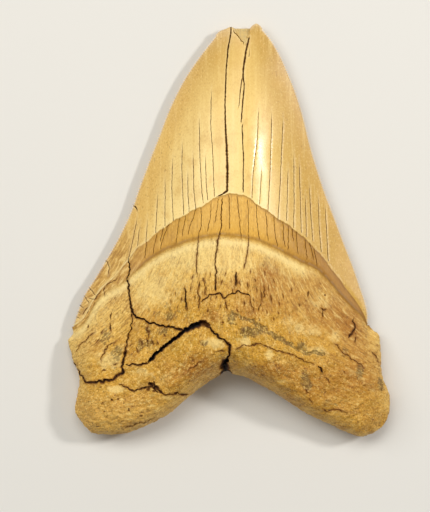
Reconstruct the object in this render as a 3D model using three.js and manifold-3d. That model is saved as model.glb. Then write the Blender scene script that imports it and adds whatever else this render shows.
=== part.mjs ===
// A fossil megalodon tooth, lying on its nearly flat outer face with the tip towards +Y.
// The convex inner face looks up, +Z. Millimetres, with the origin at the middle of the
// bottom of the tooth's box. The tooth grew as one piece, so it is one closed solid. Its
// open breaks are narrow wedges cut into that solid.

import * as THREE from "three";
import Module from "manifold-3d";

// Driving dimensions, in millimetres.
const torusHeight = 24; // top of the root's swelling above the surface that the tooth lies on
const cuttingRimHeight = 3.2; // height of the crown's cutting edges above that surface
const lobeRimHeight = 6; // height of the widest line round the root's sides
const notchRimRise = 3; // that line is higher by this much in the notch
const tipRimRise = 0.3; // and the cutting edges are higher by this much at the tip
const enamelStep = 0.45; // the enamel stands this far proud of the neck band
const grooveDepth = 0.5; // the neck band dips by this much at its foot
const ledgeHeight = 0.8; // the root starts with a lip this far above the crown's own slope
const cuttingEdgeRounding = 0.6; // width of the rounding along the cutting edges
const frontRounding = 6.5; // the same for the root's upper edges
const notchExtraRounding = 3; // added to that in the notch between the lobes
const backRounding = 4.5; // and for the edges that the root lies on
const lumpHeight = 0.35; // the root's uneven surface swells and sinks by this much
const outerNeckGroove = 0.45; // depth of the groove below the enamel on the outer face
const outerHollow = 1.3; // the outer face of the root is hollow by this much in the middle
const bladeRunOut = 9; // the crown's blades fade away over this much of the outer face of the root
const tipLift = 2; // the tip is bent this far up off the surface

// How finely the faces are divided.
const columns = 36;
const edgeCrowding = 0.55; // 0 spaces the columns evenly, 1 crowds them at both edges
const wedgeClearance = 1.5; // the bars that cut the breaks stand out of the surface by this much

// Where the stretches of the outline meet, in millimetres along Y or X.
const bottomCornerY = -58.9; // the sides meet the bottom edge
const bottomLeftX = -46.5;
const bottomRightX = 49;
const leftKnobY = -34.3; // the root's side turns into a small notched step
const rightKnobY = -33.3;
const leftBladeY = -30.1; // the cutting edges start
const rightBladeY = -29.4;
const leftTipY = 60.3; // the cutting edges end at the tip
const rightTipY = 62.6;
const leftTipX = -4.3;
const rightTipX = 10.4;

const clamp = THREE.MathUtils.clamp;
const mix = THREE.MathUtils.lerp;
const smoothstep = THREE.MathUtils.smoothstep;
const bell = (value, width) => Math.exp(-((value / width) ** 2));

// A smooth curve through points [a, b] in rising order of a, read as b from a. It never
// swings past the points, so a corner between two points stays where it is.
function through(points) {
  const last = points.length - 1;
  const secant = (i) => (points[i + 1][1] - points[i][1]) / (points[i + 1][0] - points[i][0]);
  const slopes = points.map((point, i) => {
    if (i === 0) return secant(0);
    if (i === last) return secant(last - 1);
    const product = secant(i - 1) * secant(i);
    return product <= 0 ? 0 : (2 * product) / (secant(i - 1) + secant(i));
  });
  return (a) => {
    const value = clamp(a, points[0][0], points[last][0]);
    const i = Math.min(points.filter(([start]) => start <= value).length - 1, last - 1);
    const span = points[i + 1][0] - points[i][0];
    const t = (value - points[i][0]) / span;
    const rise = points[i + 1][1] - points[i][1];
    const bend = slopes[i] * span - rise;
    const bendBack = rise - slopes[i + 1] * span;
    return points[i][1] + t * rise + t * (1 - t) * ((1 - t) * bend + t * bendBack);
  };
}

// The outline seen from above: two sides as x from y, the bottom and the tip as y from x.

const leftRootSide = through([
  [bottomCornerY, bottomLeftX], [-56.1, -47.8], [-53.3, -47.7], [-49.9, -46.9], [-47.1, -46.4],
  [-44.6, -46.7], [-40.8, -48.4], [-37.2, -49.4], [leftKnobY, -50.1],
]);
const leftNotchedStep = through([
  [leftKnobY, -50.1], [-33.9, -49.9], [-32, -48.4], [leftBladeY, -48.7],
]);
const leftCuttingEdge = through([
  [leftBladeY, -48.7], [-25.4, -47.2], [-20.1, -45.1], [-15.2, -42], [-8.7, -38.1], [-1.2, -33.9],
  [6.2, -30.5], [13.6, -27.9], [21.1, -25.1], [28.5, -22.2], [37.8, -18.6], [47.1, -13.9],
  [53.9, -9.3], [leftTipY, leftTipX],
]);
const rightRootSide = through([
  [bottomCornerY, bottomRightX], [-55.2, 50], [-51.5, 50], [-49, 49.1], [-45.9, 47.9], [-42.8, 47.4],
  [-37.8, 47.3], [rightKnobY, 47],
]);
const rightNotchedStep = through([
  [rightKnobY, 47], [-32.1, 46.3], [-31.2, 45], [rightBladeY, 43.4],
]);
const rightCuttingEdge = through([
  [rightBladeY, 43.4], [-26.7, 43.4], [-22.6, 42.6], [-17.4, 40.9], [-11.5, 38.9], [-4, 36],
  [4, 33], [10.8, 30.4], [19.2, 27.6], [26.7, 25.4], [34.1, 23.6], [41.2, 21.5], [48, 18.9],
  [54.9, 15.8], [59.5, 13], [rightTipY, rightTipX],
]);
const bottomEdge = through([
  [bottomLeftX, bottomCornerY], [-44.6, -61.1], [-42.6, -62.8], [-40, -63.5], [-34.1, -63.5],
  [-29.1, -62.2], [-24.5, -60.3], [-18.3, -57], [-12.1, -51.6], [-7.4, -48], [-4, -45.9],
  [-1.9, -44.6], [-0.6, -43.9], [1.2, -44.8], [3.7, -45.2], [7.8, -47], [12.4, -49.6],
  [18.3, -53.3], [23.9, -57], [29.8, -59.8], [35, -62.2], [38.1, -63.5], [40.6, -64.2],
  [44, -63.3], [46.8, -61.7], [bottomRightX, bottomCornerY],
]);
// A flake is gone from the very tip, between its left shoulder and its peak.
const tipEdge = through([
  [leftTipX, leftTipY], [-2.8, 61.7], [-0.9, 62.5], [0.6, 63.1], [2.2, 62.6], [6.4, 62.6],
  [7.3, 63.5], [8.5, 64.1], [9.6, 63.5], [rightTipX, rightTipY],
]);

function leftSide(y) {
  if (y < leftKnobY) return leftRootSide(y);
  return y < leftBladeY ? leftNotchedStep(y) : leftCuttingEdge(y);
}

function rightSide(y) {
  if (y < rightKnobY) return rightRootSide(y);
  return y < rightBladeY ? rightNotchedStep(y) : rightCuttingEdge(y);
}

// Lines across the tooth that the surface follows, as y from x.

const enamelLine = through([
  [-48.7, -30.4], [-46.5, -28.8], [-44.3, -25.7], [-41.9, -21.1], [-37.5, -15.9],
  [-31.3, -10.2], [-25.7, -4], [-19.7, 0.9], [-13.9, 4.3], [-7.4, 7.6], [-2.2, 10.4],
  [0.6, 10.8], [3.4, 10.7], [9, 7.4], [14.9, 3.4], [19.8, 0.3], [25.1, -3.4], [30.1, -9],
  [34.4, -14.9], [39.1, -20.8], [42.2, -26.5], [43.4, -29.4], [45, -31.2],
]);
const neckLine = through([
  [-50.1, -34.3], [-48.4, -32.4], [-46.2, -30.8], [-42.5, -25.3], [-39.7, -19.7],
  [-34.4, -15.2], [-29.4, -12.7], [-24.8, -8.8], [-17.7, -5.3], [-9, -2.5], [-2.2, -1.6],
  [6.5, -2.6], [12.7, -4.8], [18.9, -7.9], [25.1, -11.2], [29.8, -13.8], [34.4, -18.8],
  [40, -25], [43.1, -30.4], [45, -32.2], [47, -33.3],
]);
const crestLine = through([
  [-46.9, -50], [-38, -48.5], [-30, -43], [-20, -36.5], [-10, -30], [0, -27], [10, -29],
  [20, -33.5], [30, -39], [40, -45.5], [49.5, -50],
]);
const outerEnamelLine = through([
  [-48.7, -31.4], [-35, -26], [-20, -19], [-8, -15.5], [0, -14.6], [8, -15.6], [22, -20.4],
  [35, -26.5], [45, -31.4],
]);

// Heights of the convex inner face.

// The crown's ridge from the tip down to the neck, as height from y.
const ridgeHeight = through([
  [-34, 22], [-20, 20.6], [-2, 18.4], [10.5, 16.4], [20, 14.8], [35, 12], [50, 8],
  [58, 5.4], [64.1, 4],
]);
// The root's swelling and the crests of its two lobes, as height from x.
const crestHeight = through([
  [-50, 9.5], [-42, 12.5], [-30, 15.5], [-20, 18.6], [-10, 22.4], [0, torusHeight],
  [10, 22.8], [20, 19.4], [30, 16.2], [42, 13.2], [50, 9.5],
]);

// Where a point lies between the cutting edges: -1 on the left one, 1 on the right one.
function across(x, y) {
  const left = leftSide(y);
  const right = rightSide(y);
  return clamp((2 * x - left - right) / (right - left), -1, 1);
}

// Height of the outline's own line. It climbs from the blades to the lobes' sides, more so in
// the notch between the lobes, and a little towards the tip.
function rimHeight(x, y) {
  const root = smoothstep(-y, 32, 48);
  const notch = notchRimRise * bell(x, 12) * smoothstep(-y, 36, 42);
  const tip = tipRimRise * smoothstep(y, 40, 64);
  return mix(cuttingRimHeight, lobeRimHeight, root) + notch + tip;
}

// The crown is a dome from edge to edge that flattens into a blade along both edges.
function enamelHeight(x, y) {
  const t = across(x, y);
  const dome = 0.6 * (1 - t * t) + 0.2 * (1 + Math.cos(Math.PI * t));
  const rim = rimHeight(x, Math.max(y, -32));
  return rim + (ridgeHeight(y) - rim) * dome;
}

// The neck band lies below the enamel and dips towards the lip of the root.
function neckBandHeight(x, y) {
  const width = Math.max(enamelLine(x) - neckLine(x), 1);
  const dip = clamp((enamelLine(x) - y) / width, 0, 1);
  const fade = 1 - 0.7 * across(x, y) ** 2;
  return enamelHeight(x, y) - fade * (enamelStep + grooveDepth * dip * dip);
}

// Low swellings, as on the grained surface of the real root.
function lumps(x, y) {
  const broad = Math.sin(0.31 * x + 0.13 * y + 1) * Math.sin(0.27 * y - 0.09 * x);
  const small = Math.sin(0.74 * x - 0.38 * y) * Math.sin(0.66 * y + 0.21 * x + 2);
  return lumpHeight * (broad + 0.6 * small);
}

// The root rises from its lip to the crest and falls from there to the lower edge.
function rootHeight(x, y) {
  const neckY = neckLine(x);
  const crestY = crestLine(x);
  const lip = enamelHeight(x, neckY) + ledgeHeight * (1 - 0.8 * across(x, neckY) ** 2);
  const crest = crestHeight(x);
  if (y > crestY) {
    const climb = clamp((neckY - y) / (neckY - crestY), 0, 1);
    return mix(lip, crest, Math.sin((climb * Math.PI) / 2)) + climb * lumps(x, y);
  }
  const fall = clamp((crestY - y) / (crestY - bottomEdge(x)), 0, 1);
  return crest * (1 - 0.16 * fall * fall) + lumps(x, y);
}

// Heights of the outer face, which the tooth lies on: 0 is the surface below.

function outerEnamelHeight(x, y) {
  const blade = clamp((Math.abs(across(x, y)) - 0.35) / 0.65, 0, 1);
  const lift = tipLift * clamp((y - 38) / 26, 0, 1) ** 2;
  return mix(lift, rimHeight(x, y), blade * blade);
}

function outerNeckHeight(x, y) {
  const middle = 1 - across(x, y) ** 2;
  return outerEnamelHeight(x, y) + outerNeckGroove * middle;
}

// The blade of the crown's edges runs out a little way into the root.
function outerRootHeight(x, y) {
  const hollow = outerHollow * Math.max(0, bell(x, 17) * bell(y + 32, 9) - 0.12);
  const bladeLeft = 1 - smoothstep(outerEnamelLine(x) - y, 0, bladeRunOut);
  return hollow + bladeLeft * outerEnamelHeight(x, y);
}

const innerHeights = { enamel: enamelHeight, neck: neckBandHeight, root: rootHeight };
const outerHeights = { enamel: outerEnamelHeight, neck: outerNeckHeight, root: outerRootHeight };

// Distance from a point to the outline, for the rounded edges.

function outlineLoop() {
  const steps = 60;
  const stretch = (from, to, toPoint) =>
    Array.from({ length: steps }, (unused, i) => toPoint(mix(from, to, i / steps)));
  return [
    ...stretch(bottomLeftX, bottomRightX, (x) => [x, bottomEdge(x)]),
    ...stretch(bottomCornerY, rightTipY, (y) => [rightSide(y), y]),
    ...stretch(rightTipX, leftTipX, (x) => [x, tipEdge(x)]),
    ...stretch(leftTipY, bottomCornerY, (y) => [leftSide(y), y]),
  ];
}

const outline = outlineLoop();

function distanceToOutline(x, y) {
  let nearest = Infinity;
  outline.forEach(([ax, ay], i) => {
    const [bx, by] = outline[(i + 1) % outline.length];
    const along = ((x - ax) * (bx - ax) + (y - ay) * (by - ay)) / ((bx - ax) ** 2 + (by - ay) ** 2);
    const t = clamp(along, 0, 1);
    nearest = Math.min(nearest, Math.hypot(x - mix(ax, bx, t), y - mix(ay, by, t)));
  });
  return nearest;
}

// A quarter ellipse: 0 on the outline, 1 from the given distance inwards.
function roundedEdge(distance, width) {
  const left = 1 - clamp(distance / width, 0, 1);
  return Math.sqrt(1 - left * left);
}

function surfaceHeight(face, tissue, x, y) {
  const rim = rimHeight(x, y);
  const rootward = smoothstep(-y, 26, 40);
  const distance = distanceToOutline(x, y);
  if (face === "inner") {
    const rootWidth = frontRounding + notchExtraRounding * bell(x, 10);
    const width = mix(cuttingEdgeRounding, rootWidth, rootward);
    return mix(rim, innerHeights[tissue](x, y), roundedEdge(distance, width));
  }
  const width = mix(cuttingEdgeRounding, backRounding, rootward);
  return mix(rim, outerHeights[tissue](x, y), roundedEdge(distance, width));
}

// The two faces are grids of the same rows and columns. A row runs from the left side to the
// right side, bent like the guide lines below and above it, and both faces share their ends.

const shifted = (line, offset) => (x) => line(x) + offset;

// From the bottom edge to the tip. Steps is the number of rows up to the next guide, and
// ease crowds them at the lower guide where it is over 1.
const guides = [
  {
    left: bottomCornerY, right: bottomCornerY, tissue: "root", steps: 8, ease: 1.5,
    inner: bottomEdge, outer: bottomEdge,
  },
  {
    left: -50, right: -50, tissue: "root", steps: 9, ease: 1,
    inner: crestLine, outer: crestLine,
  },
  {
    left: leftKnobY, right: rightKnobY, tissue: "root", steps: 1, ease: 1,
    inner: shifted(neckLine, -0.5), outer: shifted(outerEnamelLine, -1.4),
  },
  {
    left: -33, right: -32.1, tissue: "neck", steps: 4, ease: 1,
    inner: shifted(neckLine, 0.15), outer: shifted(outerEnamelLine, -0.5),
  },
  {
    left: -31.6, right: -31.2, tissue: "neck", steps: 1, ease: 1,
    inner: shifted(enamelLine, -0.25), outer: shifted(outerEnamelLine, 0.5),
  },
  {
    left: leftBladeY, right: rightBladeY, tissue: "enamel", steps: 20, ease: 1,
    inner: shifted(enamelLine, 0.25), outer: shifted(outerEnamelLine, 1.4),
  },
  {
    left: leftTipY, right: rightTipY, tissue: "enamel", steps: 0, ease: 1,
    inner: tipEdge, outer: tipEdge,
  },
];

function columnShares() {
  return Array.from({ length: columns + 1 }, (unused, i) => {
    const even = i / columns;
    return mix(even, 0.5 - 0.5 * Math.cos(Math.PI * even), edgeCrowding);
  });
}

function rowSpots() {
  const spots = [];
  guides.slice(0, -1).forEach((lower, g) => {
    for (let i = 0; i < lower.steps; i += 1) {
      const share = (i / lower.steps) ** lower.ease;
      spots.push({ lower, upper: guides[g + 1], share });
    }
  });
  const top = guides[guides.length - 1];
  spots.push({ lower: top, upper: top, share: 0 });
  return spots;
}

function guidePoint(guide, face, u) {
  const x = mix(leftSide(guide.left), rightSide(guide.right), u);
  if (u === 0) return guide.left;
  return u === 1 ? guide.right : guide[face](x);
}

function gridPoint(spot, face, u) {
  const left = mix(spot.lower.left, spot.upper.left, spot.share);
  const right = mix(spot.lower.right, spot.upper.right, spot.share);
  const x = mix(leftSide(left), rightSide(right), u);
  const y = mix(guidePoint(spot.lower, face, u), guidePoint(spot.upper, face, u), spot.share);
  return new THREE.Vector3(x, y, surfaceHeight(face, spot.lower.tissue, x, y));
}

// The four-sided cells are cut across the short way, but a cell in a bottom corner is cut so
// that no triangle has all its points on the outline, where both faces would share it.
function cellTriangles(row, column, [a, b, c, d]) {
  const leftHalf = column < columns / 2;
  const bottomCorner = row === 0 && (column === 0 || column === columns - 1);
  return leftHalf !== bottomCorner ? [[a, b, d], [b, c, d]] : [[a, b, c], [a, c, d]];
}

// The tooth before it broke: both faces as triangles that share the vertices of the outline.
function wholeTooth() {
  const spots = rowSpots();
  const shares = columnShares();
  const vertices = [];
  const addPoint = (spot, face, u) => vertices.push(gridPoint(spot, face, u)) - 1;
  const inner = spots.map((spot) => shares.map((u) => addPoint(spot, "inner", u)));
  const onOutline = (row, column) =>
    row === 0 || row === spots.length - 1 || column === 0 || column === columns;
  const outer = spots.map((spot, row) => shares.map((u, column) => {
    if (onOutline(row, column)) return inner[row][column];
    return addPoint(spot, "outer", u);
  }));
  const triangles = [];
  for (let row = 0; row < spots.length - 1; row += 1) {
    for (let column = 0; column < columns; column += 1) {
      const corners = (grid) =>
        [grid[row][column], grid[row][column + 1], grid[row + 1][column + 1], grid[row + 1][column]];
      cellTriangles(row, column, corners(inner)).forEach((corner) => triangles.push(...corner));
      cellTriangles(row, column, corners(outer)).forEach(([a, b, c]) => triangles.push(a, c, b));
    }
  }
  return { vertices, triangles };
}

// Open breaks in the inner face: the depth in millimetres, and the path as [x, y, width].
// A path that reaches the outline runs a little past it.
const breaks = [
  {
    // down the crown from the tip, hooking left where it meets the neck band
    depth: 1,
    path: [
      [0.7, 64.5, 0.5], [0.6, 60.8, 0.5], [-0.3, 55.8, 0.5], [-0.8, 49.6, 0.45], [-1.2, 40.3, 0.45],
      [-1.2, 34.1, 0.5], [-0.8, 26.4, 0.6], [-0.5, 18.6, 0.7], [-0.6, 11.8, 0.7], [-2.2, 10.7, 0.5],
      [-4.3, 9.8, 0.2],
    ],
  },
  {
    // its neighbour to the right, from the flaked tip to the neck band
    depth: 0.9,
    path: [
      [6.2, 60.1, 0.2], [4.8, 52.7, 0.4], [4.4, 45, 0.4], [4.5, 41.9, 0.4], [4, 35.6, 0.4],
      [4.1, 29.4, 0.4], [4.4, 21.7, 0.4], [4.3, 10.7, 0.3],
    ],
  },
  {
    // across the neck band and on down the root
    depth: 0.8,
    path: [
      [-2, 9.9, 0.35], [-2.3, 3.7, 0.4], [-2.9, -1.1, 0.45], [-3.6, -4, 0.5], [-4.2, -9, 0.3],
      [-4.3, -15.5, 0.4], [-4.2, -18.9, 0.3],
    ],
  },
  {
    // from the left shoulder of the neck band to the wide break
    depth: 1.8,
    path: [
      [-31.1, -8.1, 0.4], [-30.7, -10.5, 0.6], [-30.5, -13, 0.6], [-31.2, -15.2, 0.6],
      [-30.4, -22.2, 0.6], [-29.7, -25.1, 0.7], [-28.5, -27, 0.6], [-25.8, -27.7, 0.5],
      [-24.7, -28.5, 0.5], [-19.7, -29.7, 0.5], [-17.2, -29.7, 0.6], [-14.4, -30.7, 0.6],
    ],
  },
  {
    // its branch, round the left fragment and out at the side of the root
    depth: 2,
    path: [
      [-29.6, -26, 0.4], [-30, -29.9, 0.4], [-31.2, -33.2, 0.5], [-31.8, -37.2, 0.8],
      [-31.8, -39.9, 0.7], [-33.1, -41.9, 0.9], [-32.7, -44, 0.9], [-35.3, -45.7, 1.1],
      [-40.8, -46.9, 1.1], [-43.2, -47.1, 1], [-45.9, -45.6, 0.6], [-48, -42.2, 0.4],
      [-49.6, -39.1, 0.4],
    ],
  },
  {
    // the wide break that climbs over the left lobe, and its narrow end down to the notch
    depth: 7,
    path: [
      [-24.8, -40.5, 0.9], [-22.6, -38.8, 1.3], [-19.5, -36.4, 1.7], [-16.1, -33.5, 1.7],
      [-12.7, -30.7, 1.5], [-10.1, -29.4, 1.9], [-7.4, -28.9, 1.6], [-5.6, -30.7, 0.9],
      [-3.4, -32.2, 0.7], [-1.2, -33.6, 0.9], [0, -35.6, 1.1], [0.3, -37.8, 0.8], [-0.8, -40, 1.2],
      [-1.2, -42.2, 2.4], [-0.9, -46, 3.2],
    ],
  },
  {
    // the link between the last two
    depth: 1.2,
    path: [[-31.8, -41.5, 0.3], [-27.5, -41.5, 0.4], [-24.3, -40.4, 0.5]],
  },
  {
    // along the left lobe, with a cluster of pits in it
    depth: 1.6,
    path: [
      [-33.8, -47.3, 0.3], [-29.8, -49.4, 0.4], [-25.4, -48.4, 0.5], [-23.9, -48, 1.6],
      [-22, -48.4, 1.8], [-20.8, -49.9, 0.8], [-16.7, -50.1, 0.7], [-12.1, -50.5, 0.2],
    ],
  },
  {
    // the arch over the middle of the root
    depth: 0.8,
    path: [
      [-8.7, -22.2, 0.3], [-6.1, -19.8, 0.4], [-2.5, -19.8, 0.4], [-1.1, -20.8, 0.4],
      [2.8, -18.8, 0.4], [6, -19.9, 0.4], [7.8, -25.4, 0.2],
    ],
  },
  // short slits in the root
  { depth: 1.5, path: [[2, -12.7, 0.2], [2, -15.2, 0.7], [1.9, -17.4, 0.2]] },
  { depth: 1.5, path: [[-13.5, -17.4, 0.2], [-13.3, -21.1, 0.6], [-12.8, -24.5, 0.2]] },
  { depth: 1.5, path: [[38.7, -27.3, 0.2], [38.6, -30.7, 0.8], [37.1, -33, 0.4]] },
  { depth: 1.2, path: [[26.8, -41.5, 0.2], [28, -42.5, 0.8], [28.7, -44, 0.3]] },
];

function innerSurface(x, y) {
  const neck = y > neckLine(x) ? "neck" : "root";
  return surfaceHeight("inner", y > enamelLine(x) ? "enamel" : neck, x, y);
}

// The way across a path at one of its points, square to the path's direction there.
function sideways(path, i) {
  const before = path[Math.max(i - 1, 0)];
  const after = path[Math.min(i + 1, path.length - 1)];
  return new THREE.Vector3(before[1] - after[1], after[0] - before[0], 0).normalize();
}

// A three-sided bar along a break's path: its lower edge lies at the depth of the break and
// its flat top clears the surface, where the bar is as wide as the break.
function wedge({ depth, path }) {
  const vertices = path.flatMap(([x, y, width], i) => {
    const surface = innerSurface(x, y);
    const reach = (0.5 * width * (depth + wedgeClearance)) / depth;
    const lowest = new THREE.Vector3(x, y, surface - depth);
    const top = new THREE.Vector3(x, y, surface + wedgeClearance);
    const side = sideways(path, i).multiplyScalar(reach);
    return [lowest, top.clone().sub(side), top.clone().add(side)];
  });
  const triangles = [0, 1, 2];
  for (let i = 0; i < path.length - 1; i += 1) {
    for (let edge = 0; edge < 3; edge += 1) {
      const a = 3 * i + edge;
      const b = 3 * i + ((edge + 1) % 3);
      triangles.push(a, a + 3, b, b, a + 3, b + 3);
    }
  }
  const end = 3 * (path.length - 1);
  triangles.push(end, end + 2, end + 1);
  return { vertices, triangles };
}

const wasm = await Module();
wasm.setup();

function toSolid({ vertices, triangles }) {
  const vertProperties = new Float32Array(vertices.flatMap((vertex) => vertex.toArray()));
  const triVerts = new Uint32Array(triangles);
  return new wasm.Manifold(new wasm.Mesh({ numProp: 3, vertProperties, triVerts }));
}

function toGeometry(solid) {
  const { vertProperties, triVerts } = solid.getMesh();
  const geometry = new THREE.BufferGeometry();
  geometry.setAttribute("position", new THREE.BufferAttribute(vertProperties, 3));
  geometry.setIndex(new THREE.BufferAttribute(triVerts, 1));
  geometry.computeVertexNormals();
  return geometry;
}

const brokenTooth = breaks.reduce(
  (solid, gap) => solid.subtract(toSolid(wedge(gap))),
  toSolid(wholeTooth()),
);

const fossil = new THREE.MeshStandardMaterial({ color: 0xd9b273, roughness: 0.45, metalness: 0 });
const tooth = new THREE.Mesh(toGeometry(brokenTooth), fossil);
tooth.name = "tooth";

const group = new THREE.Group();
group.add(tooth);

export default group;
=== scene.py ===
# %% [markdown]
# # A fossil tooth on a pale table
# The real object grew as one piece: a crown under smooth enamel, a dull neck band below it,
# and a porous root with two lobes. It lies on its nearly flat outer face, so the camera looks
# down on it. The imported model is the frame: it fixes the size and the place, and everything
# below is fitted to its box.

# %% Load the frame
import math

import bpy
import numpy as np
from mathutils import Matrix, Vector
from mathutils.geometry import delaunay_2d_cdt
from mathutils.kdtree import KDTree


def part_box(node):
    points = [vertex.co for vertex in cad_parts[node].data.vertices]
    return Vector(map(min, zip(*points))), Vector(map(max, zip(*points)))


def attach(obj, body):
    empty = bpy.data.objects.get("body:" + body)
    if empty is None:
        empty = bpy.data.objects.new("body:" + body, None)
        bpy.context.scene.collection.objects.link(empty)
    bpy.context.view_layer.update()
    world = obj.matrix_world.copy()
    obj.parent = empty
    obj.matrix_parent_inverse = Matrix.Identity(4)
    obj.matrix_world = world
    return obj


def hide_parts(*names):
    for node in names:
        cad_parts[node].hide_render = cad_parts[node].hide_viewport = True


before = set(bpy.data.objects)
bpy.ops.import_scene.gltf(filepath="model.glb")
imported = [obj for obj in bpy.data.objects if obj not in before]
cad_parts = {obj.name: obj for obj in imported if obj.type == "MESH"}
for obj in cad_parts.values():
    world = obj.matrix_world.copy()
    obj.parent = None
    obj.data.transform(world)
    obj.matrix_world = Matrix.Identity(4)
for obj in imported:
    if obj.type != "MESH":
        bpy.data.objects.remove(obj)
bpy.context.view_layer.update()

low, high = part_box("tooth")
DRAWN_LENGTH = 128.3  # millimetres from the lowest lobe to the tip, as the curves below draw it
UNIT = (high[1] - low[1]) / DRAWN_LENGTH  # metres for each drawn millimetre
print("one drawn millimetre is", round(UNIT * 1000, 4), "mm of the frame")

# %% [markdown]
# ## Curves that run through chosen points
# A natural outline has no radius to type in. It could be drawn as Bezier handles, but a curve
# through points on it is easier to read and to move. Each curve gives one coordinate from the
# other. Its slope at a point is the harmonic mean of the slopes on both sides, so it never
# swings past a point and corners stay where they are.

# %% Curve helper
def through(points):
    """Reads b from a along a smooth curve through [a, b] points in rising a."""
    a, b = np.array(points, dtype=float).T
    secants = np.diff(b) / np.diff(a)
    before, after = secants[:-1], secants[1:]
    same_way = before * after > 0
    total = np.where(same_way, before + after, 1)
    inner = np.where(same_way, 2 * before * after / total, 0)
    slopes = np.concatenate([secants[:1], inner, secants[-1:]])

    def read(value):
        value = np.clip(value, a[0], a[-1])
        i = np.clip(np.searchsorted(a, value, side="right") - 1, 0, len(a) - 2)
        span = a[i + 1] - a[i]
        t = (value - a[i]) / span
        rise = b[i + 1] - b[i]
        bend = slopes[i] * span - rise
        bend_back = rise - slopes[i + 1] * span
        return b[i] + t * rise + t * (1 - t) * ((1 - t) * bend + t * bend_back)

    return read


def mix(a, b, share):
    return a + (b - a) * share


def smoothstep(value, start, end):
    t = np.clip((value - start) / (end - start), 0, 1)
    return t * t * (3 - 2 * t)


def bell(value, width):
    return np.exp(-((value / width) ** 2))


print("smooth steps pass", float(smoothstep(0.5, 0, 1)), "halfway")

# %% [markdown]
# ## The outline from above
# The tooth is a broad triangle with slightly hollow shoulders and two rounded lobes. Its two
# sides are read as x from y, and the bottom and the tip as y from x. A flake is missing from
# the tip, and a small knob stands where each cutting edge meets the root.

# %% Outline curves, in drawn millimetres
BOTTOM_CORNER_Y = -58.9
BOTTOM_LEFT_X, BOTTOM_RIGHT_X = -46.5, 49
LEFT_KNOB_Y, RIGHT_KNOB_Y = -34.3, -33.3
LEFT_BLADE_Y, RIGHT_BLADE_Y = -30.1, -29.4
LEFT_TIP, RIGHT_TIP = (-4.3, 60.3), (10.4, 62.6)

left_root_side = through([
    (BOTTOM_CORNER_Y, BOTTOM_LEFT_X), (-56.1, -47.8), (-53.3, -47.7), (-49.9, -46.9),
    (-47.1, -46.4), (-44.6, -46.7), (-40.8, -48.4), (-37.2, -49.4), (LEFT_KNOB_Y, -50.1),
])
left_notched_step = through([
    (LEFT_KNOB_Y, -50.1), (-33.9, -49.9), (-32, -48.4), (LEFT_BLADE_Y, -48.7),
])
left_cutting_edge = through([
    (LEFT_BLADE_Y, -48.7), (-25.4, -47.2), (-20.1, -45.1), (-15.2, -42), (-8.7, -38.1),
    (-1.2, -33.9), (6.2, -30.5), (13.6, -27.9), (21.1, -25.1), (28.5, -22.2), (37.8, -18.6),
    (47.1, -13.9), (53.9, -9.3), (LEFT_TIP[1], LEFT_TIP[0]),
])
right_root_side = through([
    (BOTTOM_CORNER_Y, BOTTOM_RIGHT_X), (-55.2, 50), (-51.5, 50), (-49, 49.1), (-45.9, 47.9),
    (-42.8, 47.4), (-37.8, 47.3), (RIGHT_KNOB_Y, 47),
])
right_notched_step = through([
    (RIGHT_KNOB_Y, 47), (-32.1, 46.3), (-31.2, 45), (RIGHT_BLADE_Y, 43.4),
])
right_cutting_edge = through([
    (RIGHT_BLADE_Y, 43.4), (-26.7, 43.4), (-22.6, 42.6), (-17.4, 40.9), (-11.5, 38.9),
    (-4, 36), (4, 33), (10.8, 30.4), (19.2, 27.6), (26.7, 25.4), (34.1, 23.6), (41.2, 21.5),
    (48, 18.9), (54.9, 15.8), (59.5, 13), (RIGHT_TIP[1], RIGHT_TIP[0]),
])
bottom_edge = through([
    (BOTTOM_LEFT_X, BOTTOM_CORNER_Y), (-44.6, -61.1), (-42.6, -62.8), (-40, -63.5),
    (-34.1, -63.5), (-29.1, -62.2), (-24.5, -60.3), (-18.3, -57), (-12.1, -51.6),
    (-7.4, -48), (-4, -45.9), (-1.9, -44.6), (-0.6, -43.9), (1.2, -44.8), (3.7, -45.2),
    (7.8, -47), (12.4, -49.6), (18.3, -53.3), (23.9, -57), (29.8, -59.8), (35, -62.2),
    (38.1, -63.5), (40.6, -64.2), (44, -63.3), (46.8, -61.7), (BOTTOM_RIGHT_X, BOTTOM_CORNER_Y),
])
tip_edge = through([
    LEFT_TIP, (-2.8, 61.7), (-0.9, 62.5), (0.6, 63.1), (2.2, 62.6), (6.4, 62.6), (7.3, 63.5),
    (8.5, 64.08), (9.6, 63.5), RIGHT_TIP,
])


def left_side(y):
    upper = np.where(y < LEFT_BLADE_Y, left_notched_step(y), left_cutting_edge(y))
    return np.where(y < LEFT_KNOB_Y, left_root_side(y), upper)


def right_side(y):
    upper = np.where(y < RIGHT_BLADE_Y, right_notched_step(y), right_cutting_edge(y))
    return np.where(y < RIGHT_KNOB_Y, right_root_side(y), upper)


def across(x, y):
    """-1 on the left side, 1 on the right side."""
    left, right = left_side(y), right_side(y)
    return np.clip((2 * x - left - right) / (right - left), -1, 1)


print("width at the knobs", float(right_side(RIGHT_KNOB_Y) - left_side(LEFT_KNOB_Y)), "mm")

# %% [markdown]
# ## The lines that part enamel, neck band and root
# On the inner face the enamel ends in a chevron, and the root starts at a flatter arch below
# it. The band between them is the neck. A real edge of enamel is a little ragged, so both
# lines waver by a tenth of a millimetre or two. The outer face has one shallow arch.

# %% Lines across the tooth
def waver(x, height, seed):
    """A slow and a quick wave, which never repeat over the width of the tooth."""
    slow, quick = np.sin(1.1 * x + seed), np.sin(2.7 * x + 2 * seed)
    return height * (slow + 0.6 * quick + 0.4 * np.sin(6.1 * x))


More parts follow.
